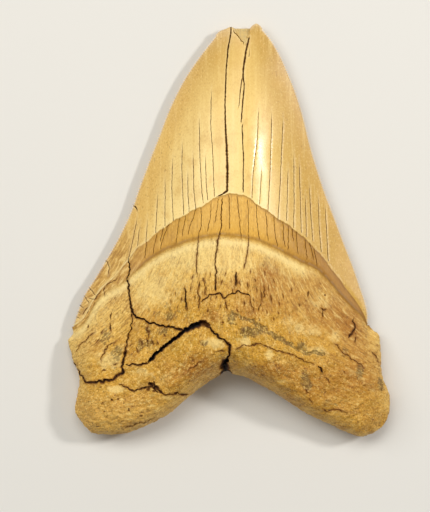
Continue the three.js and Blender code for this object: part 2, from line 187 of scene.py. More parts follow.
smooth_enamel_line = through([
    (-50.1, -30.2), (-48.7, -30), (-46.8, -29), (-45, -27.4), (-42.3, -22.6), (-40.2, -19.2),
    (-37.4, -16.3), (-34.3, -13.4), (-31.2, -9.4), (-28.5, -6), (-25.7, -3.9), (-19.7, 0.9),
    (-13.9, 4.3), (-7.4, 7.6), (-2.2, 10.4), (0.6, 10.8), (3.4, 10.7), (9, 7.4), (14.9, 3.4),
    (19.8, 0.2), (22.8, -2.3), (25.8, -5), (28.8, -8.3), (31.1, -11.3), (33.4, -14.2),
    (36.4, -18.3), (38.7, -21.2), (41.7, -25.8), (43.4, -29.2), (47, -29.2),
])
smooth_neck_line = through([
    (-50.1, -30.8), (-48.7, -30.6), (-46.8, -29.8), (-44.6, -27.8), (-42.3, -23.8),
    (-39.9, -20.3), (-36.8, -17.9), (-34.3, -16.7), (-31.9, -15.1), (-28.5, -12.2), (-24.6, -9),
    (-21.9, -7.2), (-17.7, -5.3), (-9, -2.5), (-2.2, -1.6), (6.5, -2.6), (12.7, -4.8),
    (18.9, -7.9), (22, -9.6), (24.3, -10.5), (27.7, -12.3), (29.6, -14), (31.9, -16.6),
    (34.1, -19.2), (36.4, -21.6), (38.7, -24), (41, -26.1), (42.8, -28.6), (43.6, -29.6),
    (47, -29.6),
])
smooth_outer_line = through([
    (-48.7, -31.4), (-35, -26), (-20, -19), (-8, -15.5), (0, -14.6), (8, -15.6), (22, -20.4),
    (35, -26.5), (45, -31.4),
])
crest_line = through([
    (-46.9, -50), (-38, -48.5), (-30, -43), (-20, -36.5), (-10, -30), (0, -27), (10, -29),
    (20, -33.5), (30, -39), (40, -45.5), (49.5, -50),
])


def near_the_sides(x):
    """0 over the middle and 1 near the sides, where the lines run smoothly."""
    return smoothstep(np.abs(x), 30, 42)


def enamel_line(x):
    return smooth_enamel_line(x) + waver(x, 0.16, 1) * (1 - near_the_sides(x))


def neck_line(x):
    return smooth_neck_line(x) + waver(x, 0.08, 4) * (1 - near_the_sides(x))


def outer_line(x):
    return smooth_outer_line(x) + waver(x, 0.12, 2)


print("neck band at the middle:", round(float(enamel_line(0) - neck_line(0)), 1), "mm high")

# %% [markdown]
# ## Heights of the inner face
# Seen end on, the crown is a low dome that thins into a blade along both edges. The root
# swells above it and falls off along its two lobes. A sculpted mesh would do, but formulas
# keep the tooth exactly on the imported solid, and any vertex can be moved by its own x and y.

# %% Inner heights, above the table
TORUS_HEIGHT = 24
CUTTING_RIM_HEIGHT, LOBE_RIM_HEIGHT = 3.2, 6
NOTCH_RIM_RISE, TIP_RIM_RISE = 3, 0.3
ENAMEL_STEP, GROOVE_DEPTH, LEDGE_HEIGHT = 0.4, 1.0, 0.95
LUMP_HEIGHT, ENAMEL_RIDGE = 0.35, 0.2
ENAMEL_EDGE = (0.2, -0.2)  # the enamel's edge is a ramp between these offsets from its line
ROOT_LIP = (0.15, -1.6)  # and the root climbs out of the groove between these

ridge_height = through([
    (-34, 22), (-20, 20.6), (-2, 18.4), (10.5, 16.4), (20, 14.8), (35, 12), (50, 8),
    (58, 5.4), (64.1, 4),
])
crest_height = through([
    (-50, 9.5), (-42, 12.5), (-30, 15.5), (-20, 18.6), (-10, 22.4), (0, TORUS_HEIGHT),
    (10, 22.8), (20, 19.4), (30, 16.2), (42, 13.2), (50, 9.5),
])


def rim_height(x, y):
    root = smoothstep(-y, 32, 48)
    notch = NOTCH_RIM_RISE * bell(x, 12) * smoothstep(-y, 36, 42)
    tip = TIP_RIM_RISE * smoothstep(y, 40, 64)
    return mix(CUTTING_RIM_HEIGHT, LOBE_RIM_HEIGHT, root) + notch + tip


def enamel_height(x, y):
    t = across(x, y)
    dome = 0.6 * (1 - t * t) + 0.2 * (1 + np.cos(np.pi * t))
    rim = rim_height(x, np.maximum(y, -32))
    return rim + (ridge_height(y) - rim) * dome


print("the crown's ridge is", float(ridge_height(-2)), "mm high where the neck band starts")

# %% Heights of the neck band and the root
def broken_left(x):
    """1 over the left end of the neck band, which is broken and worn flatter."""
    return smoothstep(-x, 25, 33)


def neck_band_height(x, y):
    width = np.maximum(smooth_enamel_line(x) - smooth_neck_line(x), 1)
    dip = np.clip((smooth_enamel_line(x) - y) / width, 0, 1)
    fade = 1 - 0.9 * smoothstep(np.abs(across(x, y)), 0.5, 0.95)
    fade = fade * (1 - 0.7 * broken_left(x))
    return enamel_height(x, y) - fade * (ENAMEL_STEP + GROOVE_DEPTH * dip ** 4)


def lumps(x, y):
    broad = np.sin(0.31 * x + 0.13 * y + 1) * np.sin(0.27 * y - 0.09 * x)
    small = np.sin(0.74 * x - 0.38 * y) * np.sin(0.66 * y + 0.21 * x + 2)
    return LUMP_HEIGHT * (broad + 0.6 * small)


def root_height(x, y):
    neck_y, crest_y = smooth_neck_line(x), crest_line(x)
    ledge = LEDGE_HEIGHT * (1 - 0.8 * across(x, neck_y) ** 2) * (1 - 0.6 * broken_left(x))
    lip = enamel_height(x, neck_y) + ledge
    crest = crest_height(x)
    climb = np.clip((neck_y - y) / (neck_y - crest_y), 0, 1)
    upper = mix(lip, crest, np.sin(climb * np.pi / 2)) + climb * lumps(x, y)
    fall = np.clip((crest_y - y) / (crest_y - bottom_edge(x)), 0, 1)
    lower = crest * (1 - 0.16 * fall * fall) + lumps(x, y)
    return np.where(y > crest_y, upper, lower)


def above(line, x, y, ramp):
    """0 below a line and 1 above it, with a short smooth ramp between two offsets from it."""
    return smoothstep(y - line(x), ramp[1], ramp[0])


def edge_ridge(x, y):
    """The enamel's edge stands up as a thin ridge where it nears the sides."""
    return bell(y - enamel_line(x) - 0.25, 0.35) * smoothstep(np.abs(x), 33, 39)


def inner_height(x, y):
    crown = mix(neck_band_height(x, y), enamel_height(x, y), above(enamel_line, x, y, ENAMEL_EDGE))
    crown = crown + ENAMEL_RIDGE * edge_ridge(x, y)
    return mix(root_height(x, y), crown, above(neck_line, x, y, ROOT_LIP))


print("height of the swelling", round(float(inner_height(0, -27)), 1), "mm")

# %% [markdown]
# ## Heights of the outer face
# The tooth rests on this face, so most of it lies at height 0. The blades and the tip lift off
# the table, a groove follows the edge of the enamel, and the middle of the root is hollow.

# %% Outer heights
OUTER_GROOVE_DEPTH, OUTER_GROOVE_WIDTH = 0.45, 1.1
OUTER_HOLLOW, BLADE_RUN_OUT, TIP_LIFT = 1.3, 9, 2


def outer_crown_height(x, y):
    blade = np.clip((np.abs(across(x, y)) - 0.35) / 0.65, 0, 1)
    lift = TIP_LIFT * np.clip((y - 38) / 26, 0, 1) ** 2
    return mix(lift, rim_height(x, y), blade * blade)


def outer_height(x, y):
    below = outer_line(x) - y
    blade_left = 1 - smoothstep(below, 0, BLADE_RUN_OUT)
    hollow = OUTER_HOLLOW * np.maximum(0, bell(x, 17) * bell(y + 32, 9) - 0.12)
    groove = OUTER_GROOVE_DEPTH * (1 - across(x, y) ** 2) * bell(below - 0.4, OUTER_GROOVE_WIDTH)
    return hollow + blade_left * outer_crown_height(x, y) + groove


print("outer face at the notch", round(float(outer_height(0, -32)), 2), "mm off the table")

# %% [markdown]
# ## The rim in even steps
# The rim is shared by both faces. It is walked in even steps: a quarter of a serration along
# the cutting edges, so that each of their small teeth gets four vertices, and wider steps
# round the root. The inward direction at each step is taken over its neighbours, so that it
# turns gently at the knobs and in the notch.

# %% Walk the outline
SERRATION_PITCH = 0.8
BLADE_SPACING = SERRATION_PITCH / 4
ROOT_SPACING = 0.4
TIP_SPACING = 0.25
FINE_STEPS = 3000


def even_steps(points, spacing):
    """Points along a path at the spacing nearest to the one asked for, without its last one."""
    lengths = np.concatenate([[0], np.cumsum(np.hypot(*np.diff(points, axis=0).T))])
    count = max(2, round(lengths[-1] / spacing))
    marks = np.linspace(0, lengths[-1], count, endpoint=False)
    return np.column_stack([np.interp(marks, lengths, points[:, i]) for i in (0, 1)])


def line_points(line, start, end):
    x = np.linspace(start, end, FINE_STEPS)
    return np.column_stack([x, line(x)])


def side_points(side, start, end):
    y = np.linspace(start, end, FINE_STEPS)
    return np.column_stack([side(y), y])


STRETCHES = [
    (line_points(bottom_edge, BOTTOM_LEFT_X, BOTTOM_RIGHT_X), ROOT_SPACING, False),
    (side_points(right_root_side, BOTTOM_CORNER_Y, RIGHT_KNOB_Y), ROOT_SPACING, False),
    (side_points(right_notched_step, RIGHT_KNOB_Y, RIGHT_BLADE_Y), TIP_SPACING, False),
    (side_points(right_cutting_edge, RIGHT_BLADE_Y, RIGHT_TIP[1]), BLADE_SPACING, True),
    (line_points(tip_edge, RIGHT_TIP[0], LEFT_TIP[0]), TIP_SPACING, False),
    (side_points(left_cutting_edge, LEFT_TIP[1], LEFT_BLADE_Y), BLADE_SPACING, True),
    (side_points(left_notched_step, LEFT_BLADE_Y, LEFT_KNOB_Y), TIP_SPACING, False),
    (side_points(left_root_side, LEFT_KNOB_Y, BOTTOM_CORNER_Y), ROOT_SPACING, False),
]
walked = [even_steps(points, spacing) for points, spacing, serrated in STRETCHES]
rim = np.vstack(walked)
blade_run = np.concatenate([
    np.arange(len(steps)) * BLADE_SPACING if serrated else np.full(len(steps), -1.0)
    for steps, (points, spacing, serrated) in zip(walked, STRETCHES)
])


def inward_directions(loop, reach):
    """Square to the loop, towards its inside, judged over this many steps each way."""
    tangent = sum(np.roll(loop, -k, axis=0) - np.roll(loop, k, axis=0) for k in range(1, reach + 1))
    tangent /= np.linalg.norm(tangent, axis=1)[:, None]
    return np.column_stack([-tangent[:, 1], tangent[:, 0]])


inward = inward_directions(rim, 5)
print(len(rim), "steps round the rim")

# %% [markdown]
# ## Distance to the rim, and the rounded sides
# The root's sides are quarter ellipses between the rim and each face, and the cutting edges
# have a rounding of little more than half a millimetre. Both are read from the distance to
# the rim, which a KD tree finds for every point at once.

# %% Rounded sides
CUTTING_ROUNDING, FRONT_ROUNDING, NOTCH_EXTRA_ROUNDING, BACK_ROUNDING = 0.6, 6.5, 3, 4.5
rim_tree = KDTree(len(rim))
for index, spot in enumerate(rim):
    rim_tree.insert((*spot, 0), index)
rim_tree.balance()


def nearest_on_rim(plan):
    """The nearest step of the rim and the distance to it, for each point."""
    found = [rim_tree.find((x, y, 0)) for x, y in plan]
    return np.array([f[1] for f in found]), np.array([f[2] for f in found])


def rootward(y):
    return smoothstep(-y, 26, 40)


def front_rounding(x, y):
    return mix(CUTTING_ROUNDING, FRONT_ROUNDING + NOTCH_EXTRA_ROUNDING * bell(x, 10), rootward(y))


def back_rounding(x, y):
    return mix(CUTTING_ROUNDING, BACK_ROUNDING, rootward(y))


def rounded_edge(distance, width):
    left = 1 - np.clip(distance / width, 0, 1)
    return np.sqrt(1 - left * left)


print("the root's upper edges are rounded over", FRONT_ROUNDING, "mm")

# %% [markdown]
# ## Cracks
# The tooth is broken in many places: wide dark breaks in the left lobe, two open cracks down
# the crown, and dozens of hairlines where the enamel has crazed. Painted lines would look flat
# from the side, so each crack is a real groove. It is given as the path that it takes, its
# width and its depth, and the path is made a little ragged in short uneven steps.

# %% Breaks: the depth and the path as (x, y, width), or with how dark it is there as a fourth
CROWN_BREAKS = [
    (0.9, [
        (0.7, 66, 0.5), (0.6, 60.8, 0.5), (-0.3, 55.8, 0.5), (-0.8, 49.6, 0.5), (-1.2, 40.3, 0.5),
        (-1.2, 34.1, 0.55), (-0.8, 26.4, 0.8), (-0.5, 18.6, 1), (-0.6, 11.8, 0.9),
        (-2.2, 10.7, 0.5), (-4.3, 9.8, 0.2),
    ]),
    (0.8, [
        (6.5, 60.4, 0.5), (6, 58.4, 0.75), (5.3, 55.4, 0.7), (4.5, 50.3, 0.7), (4.3, 47.4, 0.6),
        (4.7, 45.3, 0.45), (4.55, 42.4, 0.45), (4.2, 38.9, 0.5), (3.9, 35, 0.45), (3.6, 32.2, 0.35),
    ]),
    (0.8, [
        (4.5, 33, 0.2), (4, 31.6, 0.35), (4.1, 29.4, 0.4), (4.4, 21.7, 0.4), (4.3, 14, 0.4),
        (4.3, 10.7, 0.45),
    ]),
    (0.5, [(4.3, 47.6, 0.4), (3.9, 45.6, 0.42), (3.5, 42.7, 0.35), (3.2, 39.3, 0.25),
        (3, 37, 0.2)]),
    (0.8, [(-31.4, 8.8, 0.55), (-30.3, 8, 0.5), (-29.2, 7.3, 0.5), (-28.5, 6.5, 0.4),
        (-28.3, 5.2, 0.2)]),
]
ROOT_BREAKS = [
    (0.6, [
        (-1.95, 9.9, 0.35), (-2.1, 6.6, 0.4), (-2.4, 3.7, 0.4), (-2.4, 0.6, 0.4),
        (-2.9, -1.1, 0.45), (-3.4, -2.3, 0.5), (-3.6, -4, 0.5), (-3.7, -6.5, 0.35),
        (-4.2, -9.1, 0.25), (-4, -12.7, 0.2), (-4.3, -15.5, 0.4), (-4.2, -18.9, 0.35),
    ]),
    (1.1, [(-31.8, -41.5, 0.3), (-29.7, -41.3, 0.3), (-27.5, -41.5, 0.4), (-24.3, -40.4, 0.5)]),
    (0.8, [
        (-33.8, -47.3, 0.2, 0.6), (-31.6, -48.4, 0.2, 0.7), (-29.8, -49.4, 0.35),
        (-27.5, -49, 0.25), (-25.4, -48.4, 0.35), (-23.9, -48, 0.5), (-22, -48.4, 0.6),
        (-20.8, -49.9, 0.35), (-19.5, -50.5, 0.25, 0.7), (-17.4, -50.4, 0.2, 0.5),
        (-16.5, -50.1, 0.5), (-15.4, -50.3, 0.2, 0.6), (-14.4, -50.7, 0.45), (-13.6, -50.8, 0.5),
        (-12.1, -50.5, 0.2, 0.6),
    ]),
    (1, [(-24.6, -46.7, 0.15), (-23.6, -47.5, 0.45), (-22.5, -48.7, 0.4), (-21.7, -50, 0.15)]),
    (1, [(-22.9, -46.3, 0.15), (-22.9, -47.6, 0.4), (-22.2, -48.8, 0.35), (-22.7, -49.7, 0.15)]),
    (0.7, [
        (-8.7, -22.2, 0.2), (-7.3, -21.3, 0.3, 0.8), (-6.1, -19.8, 0.2), (-4.3, -19.5, 0.3),
        (-2.5, -19.8, 0.35), (-1.1, -20.8, 0.3), (0.1, -19.8, 0.25, 0.7), (1.2, -19.5, 0.2),
        (2.8, -18.8, 0.35), (4.3, -19.5, 0.25, 0.8), (6, -19.9, 0.2), (6.6, -20.8, 0.2),
    ]),
    (1.2, [(2.1, -12.7, 0.15), (2, -14.2, 0.4), (2, -15.5, 0.5), (1.9, -17.4, 0.15)]),
    (1.1, [(-13.5, -17.4, 0.15), (-13.3, -21.1, 0.35), (-12.8, -24.5, 0.15)]),
    (1.1, [
        (38.4, -27.2, 0.15, 0.5), (38.7, -29.4, 0.2, 0.7), (38.6, -30.6, 0.5), (38.2, -31.4, 1),
        (37.5, -32.3, 0.8), (36.6, -33.4, 0.2, 0.8),
    ]),
    (0.6, [(38.7, -32.8, 0.2, 0.5), (38.9, -33.9, 0.4, 0.7), (38.6, -35, 0.2, 0.5)]),
    (0.7, [(28, -23.8, 0.2, 0.7), (28.8, -24.9, 0.6), (29.6, -24.7, 0.35, 0.7),
        (30.3, -24.2, 0.2, 0.5)]),
    (0.6, [(28.9, -24.8, 0.2), (28.8, -25.8, 0.25, 0.7), (29, -26.8, 0.15, 0.5)]),
    (0.7, [(24.5, -18.6, 0.2), (24.3, -19.6, 0.45), (24.4, -20.6, 0.2)]),
    (0.5, [(1.2, 62.5, 0.25), (1.8, 61.3, 0.35), (2.8, 60.2, 0.3), (3.7, 58.8, 0.35),
        (4.6, 57.9, 0.25), (4.9, 57, 0.2)]),
    (1.1, [(26.8, -41.7, 0.15), (28, -42.5, 0.7), (28.6, -43.9, 0.3)]),
]
print(len(CROWN_BREAKS + ROOT_BREAKS), "breaks drawn in the crown and the root")

# %% Breaks of the left lobe
SHOULDER_BREAK_DEPTH = 1.8
SHOULDER_BREAK = [
    (-31.1, -8.1, 0.25), (-30.8, -10.5, 0.4), (-30.6, -12.4, 0.5), (-31.1, -15.2, 0.25),
    (-30.7, -18, 0.35), (-30.4, -22.2, 0.4), (-29.7, -25.1, 0.55), (-28.9, -26.7, 0.4),
    (-27.5, -27.2, 0.25), (-25.8, -27.7, 0.35), (-24.7, -28.5, 0.3), (-22.2, -28.8, 0.3),
    (-19.7, -29.7, 0.3), (-17.2, -29.7, 0.45), (-15, -30.5, 0.45), (-13.3, -31.2, 0.45),
]
FRAGMENT_BREAK_DEPTH = 1.2
FRAGMENT_BREAK = [
    (-29.7, -25.4, 0.2, 0.3), (-29.8, -27.6, 0.15, 0.2), (-30, -29.9, 0.22, 0.8),
    (-30.6, -31.4, 0.15, 0.4), (-31.2, -33.2, 0.22, 0.7), (-31.6, -36.1, 0.15, 0.4),
    (-31.7, -37.5, 0.75, 1), (-31.8, -38.7, 0.2, 0.6), (-32, -39.4, 0.45, 1),
    (-32.6, -40.6, 1, 1), (-32.9, -41.9, 0.7, 1), (-32.4, -43, 0.5, 1), (-32.9, -44.2, 0.8, 1),
    (-35.3, -45.7, 0.75, 1), (-37.8, -46.3, 0.7, 1), (-40.8, -46.9, 0.9, 1), (-43.2, -47.1, 0.8, 1),
    (-45, -46.2, 0.45, 0.9), (-46.9, -43.4, 0.3, 0.7), (-48, -41.5, 0.3, 0.7),
    (-50.5, -38, 0.3, 0.7),
]
WIDE_BREAK_DEPTH = 2.8
WIDE_BREAK = [
    (-24.8, -40.6, 0.25, 0.7), (-24.2, -39.9, 0.6, 1), (-23.3, -39.1, 1, 1), (-22.2, -38.1, 0.7, 1),
    (-21.1, -37.2, 0.8, 0.9), (-19.9, -36.1, 0.6, 0.8), (-18.8, -35.2, 0.85, 0.8),
    (-17.4, -34, 0.65, 0.9), (-16.2, -33, 0.9, 0.9), (-14.6, -31.8, 0.7, 0.7),
    (-13.3, -30.8, 1.1, 1), (-11.2, -29.7, 1.6, 1), (-9.9, -29.1, 1.65, 1),
    (-8.6, -28.8, 1.6, 0.55), (-7.4, -29, 1.4, 0.4), (-6.6, -29.4, 1.1, 0.5),
    (-5.9, -29.9, 0.4, 0.8),
]
NOTCH_BREAKS = [
    (1.8, 0.85, [
        (-6.4, -29.5, 0.5), (-5.4, -30.6, 0.5), (-4.6, -31.5, 0.45), (-3.4, -32.2, 0.6),
        (-2.2, -33.2, 0.45), (-1.2, -33.6, 0.65), (-0.1, -35.2, 0.9), (0.3, -36.2, 0.75),
        (0.3, -37.8, 0.55), (-0.3, -39.1, 0.6), (-0.8, -40.4, 0.9),
    ]),
    (5.5, 1, [
        (-0.5, -39, 0.5), (-1, -40.2, 1.7), (-1.6, -41.4, 2.8), (-1.3, -42.6, 2.3),
        (-0.9, -43.8, 2.9), (-0.8, -46.5, 3.2),
    ]),
]
print(len(NOTCH_BREAKS) + 3, "breaks drawn in the left lobe and down to the notch")

# %% Hairlines in the enamel and the neck band, each a list of (x, y)
ENAMEL_HAIRLINES = [
    [(-5.4, 45), (-5.6, 32.5), (-5, 23.2), (-4.7, 15.5), (-4.5, 9.8)],
    [(-9.2, 36.3), (-9, 23.2), (-8.5, 13.9), (-7.9, 7.8)],
    [(-11.1, 25.4), (-10.8, 12.4), (-10.2, 6.2)],
    [(-14.4, 28.8), (-14.5, 18.6), (-13.9, 4.3)],
    [(-17.4, 23.9), (-17.6, 12.4), (-17.1, 2.5)],
    [(-19.7, 18), (-19.7, 0.9)],
    [(-22, 13), (-22.6, -1.2)],
    [(-25.1, 5.3), (-25.6, -4)],
    [(-27.3, 3.4), (-28.3, -5.3)],
    [(-7.3, 24.8), (-7, 13.9), (-6.5, 8.7)],
    [(-12.7, 20.1), (-12.6, 10.8), (-12.2, 5.3)],
    [(9.3, 39.4), (8.7, 27.9), (7.4, 17.7), (7, 9.3)],
    [(13.2, 37.8), (13, 27.9), (12.6, 17.1), (11.9, 5.6)],
    [(10.2, 20.8), (9.3, 7.4)],
    [(16.9, 36.6), (16.3, 25.4), (15.8, 14.6), (15, 2.8)],
    [(18.3, 20.8), (17.7, 2.5)],
    [(20.1, 25.4), (20.1, 9.3), (19.9, 0.3)],
    [(21.7, 22.9), (22, 10.8), (22.3, -1.2)],
    [(24.8, 16.1), (25.3, 4.7), (25.9, -3.7)],
    [(23.6, 12.4), (23.9, -2.5)],
    [(27.6, 12.4), (27.9, 1.6), (28.5, -7.1)],
    [(29.8, 9.3), (30.4, -3.1), (30.7, -9.9)],
    [(6.5, 58.6), (6.2, 53.3)],
    [(-28.3, 6.2), (-28.6, 2.5), (-29.5, -1.9), (-30.4, -6.5), (-30.9, -8.6)],
]
NECK_CRACKS = [
    [(2.4, 10.5), (2.6, 8.1), (3.1, 3.7), (3.4, 0), (3.8, -3.1)],
    [(5.5, 9.4), (5.9, 5.3), (5.8, 2.5), (6, -2.3), (5.9, -5), (5.2, -9), (4.3, -12.4)],
    [(-5.4, 8.2), (-5.8, 3.7), (-6.7, -1.2)],
    [(-10, 6.6), (-10.9, 3.9), (-12.1, 0.6), (-12.6, -2.2)],
    [(-8.5, 7), (-8.5, 1.2), (-9.4, -2.2), (-9.8, -7.6), (-10.1, -11.2), (-9.6, -14.3)],
    [(-18.4, 1.9), (-20, -1.7), (-20.9, -5), (-21.2, -6.6)],
    [(-22.1, -1), (-23, -4.7), (-23.3, -8)],
    [(-20.1, 0.8), (-20.9, -2.4), (-21.3, -4.2)],
    [(8.4, 7.7), (8.4, 5.3), (8.9, -1.1), (9.6, -3.7)],
    [(11.2, 5.9), (11.5, 2.5), (11.7, -1.1), (12, -4)],
    [(13.7, 4.2), (13.9, 1.4), (14.2, -2.3), (15.1, -5.6)],
    [(16.3, 2.4), (16.7, 0.6), (16.7, -2.8), (17.4, -5.9)],
    [(18.2, 1.2), (18.2, -6.8)],
    [(20.6, -0.5), (21.3, -8.1)],
    [(23.4, -2.9), (24.2, -9.9)],
    [(26.2, -5.6), (27.3, -11.8)],
    [(-25.4, -3.6), (-26, -9.6)],
    [(-15.2, 3.6), (-16.4, -5)],
    [(-3.2, 9.6), (-3.8, 5.2), (-4.5, 1.4)],
    [(24.9, -4), (25.8, -7.6), (26.3, -9.8)],
    [(19.4, 0.4), (19.9, -4)],
    [(-13.2, 4.4), (-13.9, 1), (-14.5, -2.6)],
    [(0, 10.7), (0.2, -0.6)],
]
print(len(ENAMEL_HAIRLINES + NECK_CRACKS), "hairlines drawn")

# %% Small cracks in the root, and its shallow channel
ROOT_CRACKS = [
    [(-9.4, -16.7), (-9, -20.5), (-9.3, -24.8)],
    [(-7.6, -14.3), (-7.3, -18.6), (-6.5, -20.5)],
    [(-4.2, -18.9), (-4, -21.7)],
    [(-1.1, -20.8), (-0.6, -25.4)],
    [(6.2, -20.2), (6.7, -23.2), (7.8, -25.4)],
    [(9.6, -21.7), (9.3, -24.5)],
    [(10.5, -16.4), (10.4, -21.7)],
    [(-0.7, -36.8), (-3.4, -36.9), (-4.2, -37.7)],
    [
        (0.9, -36.3), (2.2, -36), (4.3, -35.3), (6.2, -35.5), (9, -35.1), (11.5, -35.5),
        (15.7, -37.6), (18.6, -37.8), (21.4, -39.1), (24.2, -40.8), (26.6, -41.7),
    ],
    [(28.9, -44.2), (29.8, -45.6), (31.6, -47.7)],
    [(28.3, -44.6), (27.3, -46.2)],
    [(-7.8, -39.7), (-10.4, -41.5), (-13, -42.8)],
    [(32.2, -34.4), (34.6, -37.5), (36.9, -39.1), (39.1, -40.8), (41.9, -42.3)],
    [(43.4, -37.2), (45.7, -39.1), (46.4, -42)],
    [(27.6, -54.6), (30.2, -55.5), (34.1, -55.3), (36, -56.1)],
    [(22.6, -48.4), (25, -50.7)],
    [(24.2, -51.1), (26, -53.9)],
    [(-41.2, -31), (-43.7, -33.8), (-46.2, -35.6), (-47.6, -38.4)],
    [(-34.2, -33.8), (-36.9, -35.6), (-38, -37.6), (-39.2, -39.1), (-39.5, -41.1)],
    [(-21.7, -57.7), (-27.3, -59.5), (-33.2, -61.1)],
    [(-39.7, -18.8), (-36.3, -16.4), (-34.1, -14.7)],
    [(-25.4, -28.8), (-24.5, -31.6), (-24.8, -34.1)],
    [(-40, -54.2), (-38.1, -52.4)],
    [(7.1, -43.1), (8.7, -44.8)],
]
SHOULDER_CRACKS = [
    [(-39.6, -9.2), (-38.3, -9.6), (-37.4, -10.6), (-37.1, -12), (-37.4, -14.3)],
    [(-44.2, -17.2), (-42.6, -18.8), (-41.6, -19.9), (-40.6, -20.4)],
    [(-45.8, -20), (-44.3, -21.3), (-43.6, -22.3), (-43.2, -23.4)],
    [(-47.4, -22.5), (-45.4, -23.9), (-44.3, -24.5)],
    [(-47.9, -25), (-46.4, -25.6), (-45.3, -26.2)],
    [(-47.9, -26.8), (-46.5, -27.4), (-45.7, -27.9)],
    [(-43.6, -21), (-42.3, -21.5), (-41.2, -21.2), (-40.2, -20.2)],
    [(-39.4, -18.8), (-40.6, -20.2), (-41.8, -21.9)],
    [(-43.6, -23.6), (-44.8, -25.2), (-45.6, -26.9)],
    [(-38.4, -17.4), (-38.6, -18.9), (-38.4, -20.8)],
]
LEANING_STROKES = [  # short dark strokes that don't follow the fibres, as their two ends and width
    (-36, -24.5, -36.7, -28.5, 0.5), (-36.7, -28, -36.3, -32.3, 0.6),
    (-25.7, -32.4, -24.1, -36.1, 0.35), (-24.1, -33, -22.6, -36.1, 0.35),
    (-27.4, -33, -26.3, -36.4, 0.3), (-28.9, -35.2, -27.6, -38.1, 0.3),
    (-22.3, -33.6, -21.3, -35.5, 0.25), (-43.1, -24.2, -44.4, -26.6, 0.3),
    (-41.2, -22, -42.2, -23.7, 0.3), (-39.8, -33.3, -41, -34.6, 0.3),
    (-38.6, -30.6, -39.8, -32.3, 0.25), (-33.9, -40.6, -35.8, -41.9, 0.35),
    (-38.5, -16.8, -38.6, -19.6, 0.25), (-37.4, -42.9, -39.6, -43.5, 0.3),
    (-20.1, -31.6, -19.2, -32.8, 0.25),
]
FISSURES = [  # as (x, y, half length, width)
    (-1, -13.5, 1.4, 0.22), (1, -18.6, 1.2, 0.25), (3.2, -16.5, 1.5, 0.24), (5.6, -17, 1.8, 0.26),
    (-5.9, -13.8, 1.5, 0.24), (-11.2, -14.6, 1.4, 0.24), (10.8, -13.2, 1.3, 0.22),
    (7.4, -21.4, 1.4, 0.28), (12, -17.8, 1.6, 0.26), (15.2, -22.6, 1.4, 0.24),
    (-2.6, -23.2, 1.2, 0.26), (2.5, -24.6, 1.2, 0.24), (-6.6, -24.6, 1.1, 0.26),
    (-15.6, -23.6, 1.3, 0.24), (-17.8, -21.8, 1.2, 0.24), (13.6, -27.2, 1.1, 0.24),
    (-4.2, -17.2, 1.6, 0.4), (-9.1, -16.7, 1.9, 0.45), (-7.8, -15.4, 1.5, 0.4),
    (-7.1, -18.1, 1.3, 0.4), (-11.8, -18.1, 1.6, 0.3), (-14.6, -21.2, 1.2, 0.4),
    (-12.7, -24, 1.1, 0.35), (8.3, -18.1, 1.4, 0.35), (9.8, -19.9, 2.8, 0.45), (9, -24, 1.3, 0.4),
    (12.8, -21.2, 1.9, 0.35), (7.9, -15.4, 0.9, 0.35), (13.7, -15.4, 1.3, 0.28),
    (16.4, -20.3, 1.5, 0.3), (-10.4, -20.8, 1.3, 0.35), (-2.3, -16, 1.1, 0.3),
    (4.6, -22.4, 1.2, 0.3), (11.4, -25, 1, 0.3), (-16.4, -19.5, 1.1, 0.28), (19, -18.5, 1.2, 0.28),
    (15, -25.5, 1.1, 0.28), (-5.6, -20.9, 1, 0.32), (6.5, -12.8, 0.9, 0.26), (21.5, -23, 1, 0.26),
]
CHANNEL = [
    (0.3, -25.1, 0.6), (3, -26.4, 1.2), (6.2, -27.7, 1.3), (11, -30.2, 1.5), (15.5, -33.3, 1.6),
    (20, -36, 1.5), (23.5, -37.3, 1.6), (27.1, -37.8, 1), (29.5, -38.5, 0.5),
]
print(len(ROOT_CRACKS + SHOULDER_CRACKS + LEANING_STROKES + FISSURES), "small cracks drawn")

# %% Cracks in the outer face, each a list of (x, y)
OUTER_ENAMEL_CRACKS = [
    [(1, 57), (0.4, 40), (-0.6, 22), (0.2, 4), (-0.8, -13)],
    [(-9, 30), (-8.4, 12), (-9.4, -12)],
    [(9.5, 38), (8.6, 17), (9.4, -13)],
    [(17, 24), (17.6, 6), (18.6, -15)],
    [(-18, 16), (-18.8, -2), (-20, -17)],
    [(-26, 4), (-27.5, -19)],
    [(26, 8), (27.5, -19)],
    [(-13.2, 21), (-13.8, 2), (-14.4, -9)],
    [(4.8, 27), (4.4, 6), (5, -10)],
    [(22, 15), (22.8, -14)],
]
OUTER_ROOT_CRACKS = [
    [
        (-24.5, -41), (-20.3, -37.8), (-17, -34.6), (-12.8, -32.6), (-9, -29.8), (-5.4, -31.2),
        (-3, -34.4), (-0.6, -41),
    ],
    [(-30.4, -26), (-31.8, -31.5), (-31.2, -38.2), (-33.4, -42.6), (-36, -46.4), (-44, -47)],
    [(12, -22), (13.6, -26.8), (16, -31.4), (15.2, -36), (13.8, -40)],
    [(28, -33), (31.6, -38.2), (36.8, -42), (38.4, -47.2), (41, -52)],
    [(-3.6, -17), (-4.4, -21.6), (-3.8, -25.4)],
    [(5.2, -18.4), (6.4, -23.2), (6, -26.6)],
    [(-14.8, -20.4), (-16, -25.8)],
]
print(len(OUTER_ENAMEL_CRACKS + OUTER_ROOT_CRACKS), "cracks drawn in the outer face")

# %% [markdown]
# ## The flake at the tip
# Between the two long cracks a chip of enamel is gone at the very tip. It leaves a slanting
# floor that falls from the left towards the wall along the right crack.

